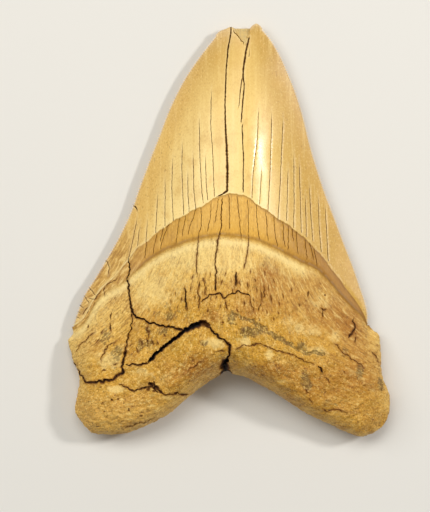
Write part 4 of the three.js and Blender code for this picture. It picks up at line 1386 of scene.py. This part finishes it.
def along_fibres(tree, vector):
    """Coordinates in mm that follow the root's fibres: across them, along them, and the height."""
    apart = put(tree, "ShaderNodeSeparateXYZ", {0: vector}).outputs
    above_turn = maths(tree, "SUBTRACT", apart["Y"], FIBRE_TURN_Y)
    crossing = maths(tree, "DIVIDE", maths(tree, "MULTIPLY", apart["X"], above_turn), -FIBRE_TURN_Y)
    squares = maths(tree, "SUBTRACT", maths(tree, "MULTIPLY", apart["X"], apart["X"]),
                    maths(tree, "MULTIPLY", above_turn, above_turn))
    following = maths(tree, "DIVIDE", squares, -2 * FIBRE_TURN_Y)
    return put(tree, "ShaderNodeCombineXYZ", {0: crossing, 1: following, 2: apart["Z"]}).outputs[0]


print("fibres would run level", -FIBRE_TURN_Y, "mm below the middle")

# %% Helpers for Geometry Nodes
def geometry_tree(name, inputs):
    """An empty Geometry Nodes tree with named inputs, and the identifier of each of them."""
    tree = bpy.data.node_groups.new(name, "GeometryNodeTree")
    tree.interface.new_socket(name="Geometry", in_out="INPUT", socket_type="NodeSocketGeometry")
    tree.interface.new_socket(name="Geometry", in_out="OUTPUT", socket_type="NodeSocketGeometry")
    identifiers = {}
    for label, kind in inputs.items():
        socket = tree.interface.new_socket(name=label, in_out="INPUT", socket_type=kind)
        identifiers[label] = socket.identifier
    return tree, identifiers


def finish_tree(tree, geometry, material):
    """Ends a tree with real geometry that wears its material."""
    real = put(tree, "GeometryNodeRealizeInstances", {"Geometry": geometry})
    dressed = put(tree, "GeometryNodeSetMaterial", {
        "Geometry": real.outputs[0], "Material": material,
    })
    put(tree, "NodeGroupOutput", {"Geometry": dressed.outputs[0]})


def attribute(tree, name, data_type="FLOAT"):
    inputs = {"Name": name}
    return put(tree, "GeometryNodeInputNamedAttribute", inputs, data_type=data_type).outputs[0]


def moved_by(tree, geometry, direction, distance):
    """Moves every vertex along its direction by its distance."""
    offset = put(tree, "ShaderNodeVectorMath", {0: direction, "Scale": distance}, operation="SCALE")
    return put(tree, "GeometryNodeSetPosition", {
        "Geometry": geometry, "Offset": offset.outputs[0],
    }).outputs[0]


def shaped_by(piece, tree, identifiers, values):
    """Runs a tree on a piece and keeps the result as its plain mesh."""
    modifier = piece.modifiers.new(tree.name, "NODES")
    modifier.node_group = tree
    for label, value in values.items():
        modifier[identifiers[label]] = value
    depsgraph = bpy.context.evaluated_depsgraph_get()
    shaped = bpy.data.meshes.new_from_object(
        piece.evaluated_get(depsgraph), preserve_all_data_layers=True, depsgraph=depsgraph
    )
    piece.modifiers.remove(modifier)
    piece.data = shaped
    return shaped


fossil = bpy.data.materials.new("fossil_enamel_and_root")
print("tree helpers ready")

# %% [markdown]
# ## Serrated cutting edges
# Both edges of the crown carry hundreds of tiny even teeth. Modelling each one would be
# endless, and they follow a simple rule, so Geometry Nodes make them: every vertex near the
# edge knows how far along the edge it lies, and a wave of that length pulls it inwards
# between two teeth. Its pull fades out within a millimetre of the edge.

# %% Serrations
SERRATION_DEPTH = 0.65
SERRATION_REACH = 0.9  # a vertex farther from the rim than this isn't pulled
near_rim = gathered(np.arange(len(rim)), inner_nearest, outer_nearest).astype(int)
rim_distance = gathered(np.zeros(len(rim)), inner_distance, outer_distance)
run_there = blade_run[near_rim]
pull = np.where(run_there >= 0, np.clip(1 - rim_distance / SERRATION_REACH, 0, 1) ** 2, 0)
store(mesh, "edge_run", np.maximum(run_there, 0) * UNIT)
store(mesh, "edge_pull", pull)
inward_layer = mesh.attributes.new("edge_inward", "FLOAT_VECTOR", "POINT")
inward_there = np.column_stack([inward[near_rim], np.zeros(vertex_count)])
inward_layer.data.foreach_set("vector", inward_there.astype(np.float32).ravel())

serration_tree, serration_inputs = geometry_tree("serrated_edges", {
    "Pitch": "NodeSocketFloat", "Depth": "NodeSocketFloat", "Material": "NodeSocketMaterial",
})
given = put(serration_tree, "NodeGroupInput")
edge_run = attribute(serration_tree, "edge_run")
edge_pull = attribute(serration_tree, "edge_pull")
edge_inward = attribute(serration_tree, "edge_inward", "FLOAT_VECTOR")
turns = maths(serration_tree, "DIVIDE", edge_run, given.outputs["Pitch"])
wave = maths(serration_tree, "COSINE", maths(serration_tree, "MULTIPLY", turns, math.tau))
gap_wave = maths(serration_tree, "MULTIPLY_ADD", wave, 0.5, 0.5)
gap_depth = product(serration_tree, gap_wave, edge_pull, given.outputs["Depth"])
serrated = moved_by(serration_tree, given.outputs["Geometry"], edge_inward, gap_depth)
finish_tree(serration_tree, serrated, given.outputs["Material"])
shaped_by(tooth, serration_tree, serration_inputs, {
    "Pitch": SERRATION_PITCH * UNIT, "Depth": SERRATION_DEPTH * UNIT, "Material": fossil,
})
print("serrations on", int((pull > 0).sum()), "vertices")

# %% [markdown]
# ## The root's grain
# The root was bone-like and porous: fibres run down from the neck, and lower down the surface
# is pitted and grainy. A bump map alone would leave the outline smooth, so the larger grain
# is real. A second tree sinks every root vertex by a stretched noise for the fibres, a round
# noise for the grains, and scattered bowls for the pits. It only sinks, so the tooth stays
# inside its box.

# %% Grain and pits
FIBRE_DEPTH, GRAIN_DEPTH, GRIT_DEPTH = 0.2, 0.34, 0.22
PIT_DEPTH, PIT_RADIUS, PITS_PER_SQUARE_MM = 0.3, 0.75, 0.05
PIT_SEED = 11


def pit_cover(tree, surface, weight, radius, density, seed):
    """How deep each vertex lies in scattered bowls, 0 to 1."""
    scattered = put(tree, "GeometryNodeDistributePointsOnFaces", {
        "Mesh": surface, "Density Max": density, "Density Factor": weight,
        "Distance Min": maths(tree, "MULTIPLY", radius, 1.4), "Seed": seed,
    }, distribute_method="POISSON")
    nearest = put(tree, "GeometryNodeProximity", {
        0: scattered.outputs["Points"],
    }, target_element="POINTS")
    share = maths(tree, "DIVIDE", nearest.outputs["Distance"], radius)
    return ramped(tree, share, 1.0, 0.1)


grain_tree, grain_inputs = geometry_tree("root_grain", {
    "Fibre Depth": "NodeSocketFloat", "Grain Depth": "NodeSocketFloat",
    "Grit Depth": "NodeSocketFloat", "Pit Depth": "NodeSocketFloat",
    "Pit Radius": "NodeSocketFloat", "Pit Density": "NodeSocketFloat",
    "Seed": "NodeSocketInt", "Material": "NodeSocketMaterial",
})
given = put(grain_tree, "NodeGroupInput")
on_root = attribute(grain_tree, "root")
lower = ramped(grain_tree, attribute(grain_tree, "below_neck"), 0.15, 0.75)
upper = maths(grain_tree, "SUBTRACT", 1.0, lower)
position = put(grain_tree, "GeometryNodeInputPosition").outputs[0]
normal = put(grain_tree, "GeometryNodeInputNormal").outputs[0]
in_mm = scaled_vector(grain_tree, position, (1 / UNIT,) * 3)
fibre_place = scaled_vector(grain_tree, along_fibres(grain_tree, in_mm), (0.9, 0.16, 0.3))
fibres = noise(grain_tree, fibre_place, 1.0, 2.0, 0.6)
grains = noise(grain_tree, in_mm, 0.42, 3.0, 0.62)
gritty = noise(grain_tree, in_mm, 1.15, 1.0, 0.6)
pitted = product(grain_tree, on_root, ramped(grain_tree, lower, 0.0, 1.0, 0.15, 1.0))
pit_share = pit_cover(
    grain_tree, given.outputs["Geometry"], pitted,
    given.outputs["Pit Radius"], given.outputs["Pit Density"], given.outputs["Seed"],
)
fibres_and_grains = summed(
    grain_tree,
    product(grain_tree, fibres, upper, given.outputs["Fibre Depth"]),
    product(grain_tree, ramped(grain_tree, grains, 0.3, 0.75), lower, given.outputs["Grain Depth"]),
)
pits_and_grit = summed(
    grain_tree,
    product(grain_tree, pit_share, given.outputs["Pit Depth"]),
    product(grain_tree, ramped(grain_tree, gritty, 0.35, 0.7), given.outputs["Grit Depth"]),
)
sunk = summed(grain_tree, fibres_and_grains, pits_and_grit)
facing_up = put(grain_tree, "ShaderNodeSeparateXYZ", {0: normal}).outputs["Z"]
free = ramped(grain_tree, facing_up, -0.95, -0.6, 0.35, 1.0)
sink_by = product(grain_tree, sunk, on_root, free, -1.0)
grained = moved_by(grain_tree, given.outputs["Geometry"], normal, sink_by)
marked = put(grain_tree, "GeometryNodeStoreNamedAttribute", {
    "Geometry": grained, "Name": "pit", "Value": product(grain_tree, pit_share, on_root),
}, data_type="FLOAT", domain="POINT")
finish_tree(grain_tree, marked.outputs[0], given.outputs["Material"])
shaped_by(tooth, grain_tree, grain_inputs, {
    "Fibre Depth": FIBRE_DEPTH * UNIT, "Grain Depth": GRAIN_DEPTH * UNIT,
    "Grit Depth": GRIT_DEPTH * UNIT, "Pit Depth": PIT_DEPTH * UNIT,
    "Pit Radius": PIT_RADIUS * UNIT, "Pit Density": PITS_PER_SQUARE_MM / UNIT ** 2,
    "Seed": PIT_SEED, "Material": fossil,
})
print("grained mesh:", len(tooth.data.vertices), "vertices")

# %% [markdown]
# ## Smooth shading with crisp breaks
# The enamel has to look polished, but the lips of the cracks are sharp. Every face is shaded
# smooth, and edges that bend by more than a set angle are marked sharp.

# %% Shading
CRISP_ANGLE = math.radians(38)
tooth.data.polygons.foreach_set("use_smooth", np.ones(len(tooth.data.polygons), dtype=bool))
tooth.data.set_sharp_from_angle(angle=CRISP_ANGLE)
print("shaded smooth, sharp from", round(math.degrees(CRISP_ANGLE)), "degrees")

# %% [markdown]
# ## The UV map for the texture bake
# The material itself needs no UV map, but a game engine gets its colours as a picture. Both
# faces are laid flat side by side, the outer one upside down so that the two triangles nest,
# and the rounded sides are folded outwards by their own length.

# %% UV islands
UV_NAME = "OFBake"
UV_MARGIN = 0.012
NEST_SHIFT = 92  # drawn millimetres from one face to the other on the sheet
FOLD_REACH = 9


def fold_length(nearest, distance, width_function, face_height):
    """How much longer the rounded side is than it looks from above, at each point."""
    x, y = rim[nearest].T
    width = width_function(x, y)
    foot_x, foot_y = x + inward[nearest, 0] * width, y + inward[nearest, 1] * width
    rise = np.abs(face_height(foot_x, foot_y) - rim_z[nearest])
    turn = np.arccos(np.clip(1 - np.clip(distance / width, 0, 1), 0, 1))
    left = math.pi / 2 - turn
    around = left * np.sqrt((width ** 2 + rise ** 2) / 2)
    return np.maximum(around - (width - np.minimum(distance, width)), 0)


def unfolded(face_plan, nearest, fold):
    """The plan with its sides folded out, less so in the notch where they would meet."""
    notch = np.clip((np.abs(face_plan[:, 0] + 0.3) + 0.5) / FOLD_REACH, 0, 1)
    room = mix(1, notch, smoothstep(-face_plan[:, 1], 38, 42))
    return face_plan - inward[nearest] * (fold * room)[:, None]


inner_fold = fold_length(inner_nearest, inner_distance, front_rounding, inner_height)
outer_fold = fold_length(outer_nearest, outer_distance, back_rounding, outer_height)
inner_uv = unfolded(inner_plan, inner_nearest, inner_fold)
outer_uv = unfolded(outer_plan, outer_nearest, outer_fold) * (1, -1) + (NEST_SHIFT, 0)
inner_corners = inner_uv[inner_triangles].reshape(-1, 2)
outer_corners = outer_uv[outer_triangles[:, ::-1]].reshape(-1, 2)
corners = np.vstack([inner_corners, outer_corners])
lowest, highest = corners.min(axis=0), corners.max(axis=0)
corners = UV_MARGIN + (corners - lowest) / (highest - lowest) * (1 - 2 * UV_MARGIN)
uv_map = tooth.data.uv_layers.new(name=UV_NAME)
uv_map.data.foreach_set("uv", corners.astype(np.float32).ravel())
print("texture sheet covers", [round(float(v)) for v in highest - lowest], "mm")

# %% [markdown]
# ## The finish
# One material covers the tooth, because it is one body. The enamel is a smooth cream with
# faint upright streaks, the neck band is a dull ochre, and the root runs from chalky cream to
# rusty brown with grey-green stains. Each colour is a thin layer, laid on by an attribute or
# by a noise in the tooth's own coordinates, and the last layers are the dark cracks and pits.
# Some layers are painted light and shade: highlights along the rim and on the enamel's lip, a sheen
# left of the crown's middle, shade under the enamel's step and in the groove above the root, and
# light on the root's ledge, along its rounded edges and on its lower left lobe.

# %% Colours and masks
def paint(red, green, blue):
    """A colour as seen on a screen, 0 to 255, as the linear values that a shader takes."""
    channels = [value / 255 for value in (red, green, blue)]
    return (*[v / 12.92 if v <= 0.04045 else ((v + 0.055) / 1.055) ** 2.4 for v in channels], 1.0)


fossil.use_nodes = True
look = fossil.node_tree
look.nodes.clear()
place = put(look, "ShaderNodeTexCoord").outputs["Object"]
mm = scaled_vector(look, place, (1 / UNIT,) * 3)


def known(name):
    """One of the stored attributes, inside the material."""
    node = put(look, "ShaderNodeAttribute", attribute_name=name, attribute_type="GEOMETRY")
    return node.outputs["Fac"]


def times(*values):
    return product(look, *values)


def fading(value, start, end, to_low=0.0, to_high=1.0):
    """ramped, inside the material."""
    return ramped(look, value, start, end, to_low, to_high)


def tinted(base, colour, share):
    """The base colour with another one laid over it by a share."""
    node = put(look, "ShaderNodeMix", data_type="RGBA")
    for key, value in ((0, share), (6, base), (7, colour)):
        if isinstance(value, bpy.types.NodeSocket):
            look.links.new(value, node.inputs[key])
        else:
            node.inputs[key].default_value = value
    return node.outputs[2]


def layered(base, layers):
    """The base colour under several layers, each a colour and its share, the last on top."""
    for colour, share in layers:
        base = tinted(base, colour, share)
    return base


fibre_mm = along_fibres(look, mm)


def grown(factors, detail=3.0, roughness=0.55, shift=(0, 0, 0), base=mm, **inputs):
    """Noise in drawn millimetres, with this many waves a millimetre along X, Y and Z."""
    moved = vector_maths(look, "ADD", base, shift)
    return noise(look, scaled_vector(look, moved, factors), 1.0, detail, roughness, **inputs)


print("the finish mixes colours by", len(rim_facts) + 1, "attributes")

# %% Enamel
side = known("side")
rough_left = known("rough_left")
edge_share = maths(look, "ABSOLUTE", side)
up_the_crown = put(look, "ShaderNodeSeparateXYZ", {0: mm}).outputs["Y"]
streaks = grown((0.8, 0.022, 0.1), detail=4.0, shift=(3, 0, 0))
broad_tone = grown((0.05, 0.035, 0.05), detail=2.0, shift=(20, 5, 0))
spots = grown((1.3, 0.9, 1.1), detail=2.0, shift=(11, 0, 2))
enamel_grain = grown((2.4, 1.5, 2.2), detail=2.0, roughness=0.6, shift=(0, 17, 0))
clouds = grown((0.22, 0.16, 0.2), detail=4.0, roughness=0.6, shift=(9, 0, 0))
side_grain = grown((1.3, 0.3, 0.4), detail=4.0, roughness=0.66, shift=(50, 0, 0), base=fibre_mm)

side_ochre = layered(paint(200, 154, 70), [
    (paint(156, 106, 32), fading(side_grain, 0.5, 0.6, 0.0, 0.85)),
    (paint(240, 206, 128), fading(side_grain, 0.48, 0.4, 0.0, 0.75)),
    (paint(146, 100, 34), fading(enamel_grain, 0.54, 0.75, 0.0, 0.6)),
])
# a painted sheen on the crown, left of its middle, fading out towards the tip
painted_left_sheen = times(
    fading(side, -0.85, -0.6), fading(side, -0.15, -0.42), fading(up_the_crown, 48.0, 22.0), 0.6
)
near_the_tip = fading(up_the_crown, 28.0, 62.0, 0.0, 0.85)
off_the_middle = fading(edge_share, 0.1, 0.6, 0.5, 1.0)
grain_share = fading(edge_share, 0.0, 0.8, 0.5, 1.0)
# how strong the painted highlight on the enamel's lip is: faint on the right, broken up by grain on
# the worn left end
plain_lip_highlight = fading(side, 0.0, 0.5, 0.3, 0.05)
rough_lip_highlight = times(rough_left, fading(side_grain, 0.44, 0.52, 0.1, 0.9))
lip_highlight_share = maths(look, "MAXIMUM", rough_lip_highlight, plain_lip_highlight)
enamel_colour = layered(paint(245, 210, 126), [
    # broad changes from the middle to the sides and to the tip, and a painted sheen on the left
    (paint(210, 162, 66), fading(edge_share, 0.4, 1.0, 0.0, 0.7)),
    (paint(255, 228, 152), painted_left_sheen),
    (paint(182, 136, 10), fading(side, 0.25, 0.85, 0.0, 0.65)),
    (paint(204, 160, 76), fading(broad_tone, 0.45, 0.75, 0.0, 0.3)),
    (paint(190, 148, 66), times(near_the_tip, off_the_middle)),
    # upright streaks and clouds
    (paint(252, 224, 150), fading(streaks, 0.5, 0.7, 0.0, 0.25)),
    (paint(202, 156, 72), fading(streaks, 0.48, 0.28, 0.0, 0.22)),
    (paint(212, 168, 84), fading(clouds, 0.48, 0.7, 0.0, 0.5)),
    # fine grain and spots, more of them towards the edges
    (paint(186, 138, 56), times(fading(enamel_grain, 0.5, 0.76, 0.0, 0.45), grain_share)),
    (paint(252, 228, 152), times(fading(enamel_grain, 0.48, 0.24, 0.0, 0.35), grain_share)),
    (paint(150, 102, 38), times(fading(spots, 0.6, 0.72, 0.0, 0.4), fading(edge_share, 0.45, 0.8))),
    # the worn left end, the painted highlights along the rim and on the enamel's lip, and the chip
    # at the tip
    (side_ochre, times(rough_left, 0.85)),
    (paint(255, 240, 214), times(known("painted_rim_highlight"), 0.9)),
    (paint(248, 226, 160), times(known("painted_lip_highlight"), lip_highlight_share)),
    (paint(196, 172, 116), times(known("flake"), fading(enamel_grain, 0.35, 0.65, 0.5, 1.0))),
])
print("enamel mixed, with", len(look.nodes), "nodes so far")

# %% Neck band
neck_streaks = grown((1.3, 0.1, 0.2), detail=4.0, roughness=0.6)
neck_grain = grown((2.4, 0.8, 1.6), detail=3.0, roughness=0.6, shift=(4, 4, 0))
along_band = put(look, "ShaderNodeCombineXYZ", {
    0: times(known("band_share"), 5.0), 1: times(up_the_crown, 0.22),
}).outputs[0]
band_streaks = noise(look, along_band, 1.0, 4.0, 0.6)
on_the_side = fading(edge_share, 0.55, 0.85)
band_base = tinted(paint(224, 172, 66), paint(192, 140, 48), fading(edge_share, 0.15, 0.9))
neck_colour = layered(band_base, [
    (paint(160, 112, 40), fading(neck_streaks, 0.47, 0.75, 0.0, 0.5)),
    (paint(240, 196, 98), fading(neck_streaks, 0.44, 0.25, 0.0, 0.5)),
    (paint(138, 92, 30), fading(neck_grain, 0.52, 0.78, 0.0, 0.55)),
    (paint(246, 208, 112), fading(neck_grain, 0.46, 0.24, 0.0, 0.5)),
    # at the sides the band is narrow, and its streaks follow it
    (paint(136, 90, 30), times(fading(band_streaks, 0.5, 0.7, 0.0, 0.7), on_the_side)),
    (paint(212, 162, 68), times(fading(band_streaks, 0.46, 0.3, 0.0, 0.6), on_the_side)),
    (paint(158, 106, 0), fading(side, 0.25, 0.9, 0.0, 0.75)),
    (side_ochre, times(rough_left, 0.9)),
    # the painted shade under the enamel's step and in the groove above the root
    (paint(120, 80, 28), times(known("step_shade"), fading(side, -0.5, 0.5, 0.25, 0.6))),
    (paint(126, 88, 34), times(known("painted_groove_shade"), 0.65)),
])
print("neck band mixed, with", len(look.nodes), "nodes so far")

# %% Patterns of the root
below = known("below_neck")
patches = grown((0.09, 0.07, 0.08), detail=5.0, roughness=0.6, shift=(0, 40, 0))
mottle = grown((0.3, 0.24, 0.3), detail=6.0, roughness=0.66, Distortion=0.6)
fibre = grown((1.9, 0.25, 0.4), detail=4.0, roughness=0.65, shift=(7, 3, 0), base=fibre_mm)
coarse_fibre = grown(
    (0.6, 0.12, 0.2), detail=4.0, roughness=0.65, shift=(30, 9, 0), base=fibre_mm
)
speckle = grown((1.5, 0.5, 1.0), detail=3.0, roughness=0.65, shift=(0, 0, 9), base=fibre_mm)
grit = grown((2.9, 1.3, 2.4), detail=2.0, roughness=0.65, shift=(5, 0, 0), base=fibre_mm)
sand = grown((2.1, 2.3, 2.0), detail=3.0, roughness=0.7, shift=(60, 0, 8))
pore_distance = put(look, "ShaderNodeTexVoronoi", {
    "Vector": scaled_vector(look, fibre_mm, (1.5, 0.55, 1.0)), "Scale": 1.0,
}).outputs["Distance"]
pores = times(fading(pore_distance, 0.34, 0.1), fading(mottle, 0.5, 0.64))


def frayed(name, start=0.25, end=0.6):
    """A stain with an edge that the mottling frays."""
    push = maths(look, "MULTIPLY_ADD", mottle, 1.8, -0.9)
    fibre_push = maths(look, "MULTIPLY_ADD", speckle, 1.1, -0.55)
    stain = known(name)
    pushed = summed(look, stain, push, fibre_push)
    return times(fading(pushed, start, end), fading(stain, 0.02, 0.3))


print("root patterns ready, with", len(look.nodes), "nodes so far")

# %% Root
upper_root = fading(below, 0.8, 0.3, 0.35, 1.0)
# the cream stains and the ledge, whose pale tone is partly chalk and partly painted light; the dark
# specks keep off them
chalk_and_ledge_light = maths(
    look, "MAXIMUM", times(known("cream_stain"), 0.75), times(known("ledge_chalk_and_light"), 0.8)
)
just_below = fading(below, 0.3, 0.0, 0.0, 0.5)
calm = maths(look, "SUBTRACT", 1.0, maths(look, "MAXIMUM", chalk_and_ledge_light, just_below))
olive = times(frayed("grey_stain", 0.25, 0.65), fading(grit, 0.35, 0.6, 0.55, 1.0))
left_light = fading(side, 0.6, -0.2, 0.6, 1.0)
on_the_lobes = fading(below, 0.45, 0.8)
off_the_lobes = fading(below, 0.45, 0.8, 1.0, 0.4)
# painted fill light on the lower lobes, strongest on the left one, where they face away from the
# lamps
painted_lower_left_light = times(
    fading(up_the_crown, -46.0, -58.0, 0.0, 0.65), fading(side, 0.3, -0.3, 0.15, 1.0)
)
root_base = tinted(paint(232, 188, 94), paint(215, 160, 42), fading(below, 0.2, 0.75))
root_colour = layered(root_base, [
    # broad tones and stains
    (paint(184, 128, 26), fading(side, 0.1, 0.9, 0.0, 0.4)),
    (paint(176, 116, 30), fading(patches, 0.46, 0.66, 0.0, 0.4)),
    (paint(172, 110, 12), times(known("orange_stain"), fading(mottle, 0.3, 0.55, 0.6, 1.0))),
    (paint(244, 210, 128), times(frayed("cream_stain", 0.2, 0.8), 0.85)),
    # the ledge, pale with chalk and with painted light
    (paint(250, 222, 148), times(known("ledge_chalk_and_light"), 0.85)),
    # painted light along the rounded edges
    (paint(234, 192, 104), times(known("painted_edge_light"), fading(mottle, 0.6, 0.4, 0.0, 0.7))),
    # painted fill light on the lower left lobe
    (paint(234, 184, 88), painted_lower_left_light),
    (paint(140, 88, 16), times(fading(mottle, 0.55, 0.7, 0.0, 0.4), calm)),
    # coarse fibres, and the grey-green stains over them
    (paint(246, 206, 112), fading(coarse_fibre, 0.46, 0.3, 0.0, 0.3)),
    (paint(140, 88, 22), times(fading(coarse_fibre, 0.54, 0.7, 0.0, 0.35), calm)),
    (paint(106, 84, 30), times(olive, 0.85)),
    # fine specks, each pattern once in a dark tone and once in a light one
    (paint(134, 84, 12), times(fading(speckle, 0.53, 0.72, 0.0, 0.4), calm)),
    (paint(252, 214, 122), times(fading(speckle, 0.46, 0.28, 0.0, 0.4), left_light)),
    (paint(124, 72, 4), times(fading(grit, 0.51, 0.7, 0.0, 0.7), calm, left_light, off_the_lobes)),
    (paint(112, 64, 4), times(fading(sand, 0.54, 0.67, 0.0, 0.85), calm, on_the_lobes)),
    (paint(250, 212, 122), times(fading(sand, 0.44, 0.32, 0.0, 0.7), on_the_lobes)),
    (paint(255, 224, 138), times(fading(grit, 0.47, 0.28, 0.0, 0.6), left_light)),
    (paint(130, 80, 14), times(upper_root, fading(fibre, 0.52, 0.68, 0.0, 0.65), calm)),
    (paint(255, 228, 146), times(upper_root, fading(fibre, 0.48, 0.3, 0.0, 0.5))),
    (paint(98, 50, 0), times(pores, calm, 0.7)),
])
print("root mixed, with", len(look.nodes), "nodes so far")

# %% Cracks over all of them
near_crack, crack_shade = known("near_crack"), known("crack")
halo = times(fading(near_crack, 0.2, 0.9), known("enamel"))
rust = times(fading(near_crack, 0.35, 1.0), known("root"), fading(mottle, 0.35, 0.6))
streaky = maths(look, "MULTIPLY_ADD", speckle, 0.7, -0.35)
deep = summed(look, crack_shade, times(streaky, known("root")))
body_colour = layered(neck_colour, [
    (enamel_colour, known("enamel")),
    (root_colour, known("root")),
    (paint(250, 230, 172), times(halo, 0.12)),
    (paint(132, 76, 12), times(rust, 0.5)),
    (paint(98, 54, 10), times(known("pit"), 0.6)),
    (paint(112, 66, 14), fading(crack_shade, 0.05, 0.45)),
    (paint(24, 11, 2), fading(deep, 0.4, 0.85)),
])
print("cracks laid over the body's colour, with", len(look.nodes), "nodes so far")

# %% Gloss and fine relief
ENAMEL_ROUGHNESS, POLISHED_ROUGHNESS, WORN_ROUGHNESS = 0.34, 0.17, 0.55
NECK_ROUGHNESS, ROOT_ROUGHNESS, FLAKE_ROUGHNESS, CRACK_ROUGHNESS = 0.5, 0.62, 0.8, 0.95
RELIEF_HEIGHT = 0.4


def grey(value):
    return (value, value, value, 1)


polish = layered(grey(ENAMEL_ROUGHNESS), [
    (grey(POLISHED_ROUGHNESS), known("polished")), (grey(WORN_ROUGHNESS), rough_left),
])
gloss = layered(grey(NECK_ROUGHNESS), [
    (polish, known("enamel")), (grey(ROOT_ROUGHNESS), known("root")),
    (grey(FLAKE_ROUGHNESS), known("flake")), (grey(CRACK_ROUGHNESS), fading(crack_shade, 0.0, 0.2)),
])
root_relief = summed(
    look, times(fibre, upper_root, 0.8), times(speckle, 0.5), times(grit, 0.7),
    times(sand, on_the_lobes, -0.5), times(pores, -0.5), times(coarse_fibre, 0.2),
    times(mottle, 0.5),
)
on_the_neck = maths(look, "SUBTRACT", 1.0, maths(look, "MAXIMUM", known("enamel"), known("root")))
neck_relief = summed(look, times(neck_streaks, 0.2), times(neck_grain, 0.25))
fine = summed(
    look, times(root_relief, known("root")), times(neck_relief, on_the_neck),
    times(side_grain, rough_left, 0.5), times(enamel_grain, known("enamel"), 0.02),
)
relief = put(look, "ShaderNodeBump", {
    "Strength": 0.8, "Distance": RELIEF_HEIGHT * UNIT, "Height": fine,
}).outputs[0]
surface = put(look, "ShaderNodeBsdfPrincipled", {
    "Base Color": body_colour, "Roughness": gloss, "Normal": relief, "IOR": 1.5,
    "Specular IOR Level": 0.5, "Coat Weight": 0.0,
})
put(look, "ShaderNodeOutputMaterial", {"Surface": surface.outputs[0]})
print(len(look.nodes), "nodes in the finish")

# %% Hand the piece over
tooth.data.materials.clear()
tooth.data.materials.append(fossil)
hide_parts("tooth")
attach(tooth, "root")
print("the piece stands for the tooth")

# %% [markdown]
# ## Table, light and camera
# A specimen is photographed on a copy stand, with the camera straight above. A broad lamp
# hangs over the far end, a second one brightens the left side, and a small one on the right
# makes the lit spot on the crown. The long lens keeps the sides of the root from showing.

# %% Table
TABLE_SIZE = 3
table = bpy.data.meshes.new("table_top")
reach = TABLE_SIZE / 2
table_corners = [(-reach, -reach, 0), (reach, -reach, 0), (reach, reach, 0), (-reach, reach, 0)]
table.from_pydata(table_corners, [], [(0, 1, 2, 3)])
table_top = bpy.data.objects.new("table_top", table)
bpy.context.collection.objects.link(table_top)
paper = bpy.data.materials.new("pale_paper")
paper.use_nodes = True
paper_finish = paper.node_tree.nodes["Principled BSDF"].inputs
paper_finish["Base Color"].default_value = paint(226, 224, 218)
paper_finish["Roughness"].default_value = 0.9
table.materials.append(paper)
print("table", TABLE_SIZE, "m wide")

# %% Lamps
def soft_lamp(name, spot, size, height, watts, colour):
    """A rectangular soft box that faces the tooth."""
    lamp = bpy.data.lights.new(name, "AREA")
    lamp.shape, lamp.size, lamp.size_y = "RECTANGLE", size, height
    lamp.energy, lamp.color = watts, colour
    holder = bpy.data.objects.new(name, lamp)
    holder.location = spot
    holder.rotation_euler = (-Vector(spot)).to_track_quat("-Z", "Y").to_euler()
    bpy.context.collection.objects.link(holder)


soft_lamp("overhead_lamp", (-0.12, 0.46, 1.02), 0.75, 0.45, 5.7, (1, 0.98, 0.94))
soft_lamp("left_lamp", (-0.62, 0.3, 0.72), 0.4, 0.5, 2.6, (1, 0.98, 0.94))
soft_lamp("right_lamp", (0.71, 0.25, 0.66), 0.15, 0.1, 4.2, (1, 0.98, 0.96))
world = bpy.data.worlds.new("pale_room")
world.use_nodes = True
room_light = world.node_tree.nodes["Background"].inputs
room_light["Color"].default_value = (1, 0.98, 0.95, 1)
room_light["Strength"].default_value = 0.25
bpy.context.scene.world = world
bpy.context.scene.view_settings.view_transform = "Standard"
print("three lamps and a pale room")

# %% Camera
CAMERA_X, CAMERA_Y, RIM_LEVEL = -4.3, -8.1, 5
VIEW_HEIGHT = 158.7  # drawn millimetres that the picture's long side takes in
LENS, SENSOR = 180, 36
camera_data = bpy.data.cameras.new("copy_stand_camera")
camera_data.lens, camera_data.sensor_width = LENS, SENSOR
camera = bpy.data.objects.new("copy_stand_camera", camera_data)
camera_z = RIM_LEVEL + VIEW_HEIGHT * LENS / SENSOR
camera.location = (CAMERA_X * UNIT, CAMERA_Y * UNIT, camera_z * UNIT)
bpy.context.collection.objects.link(camera)
bpy.context.scene.camera = camera
print("camera", round(camera.location.z, 3), "m above the table")
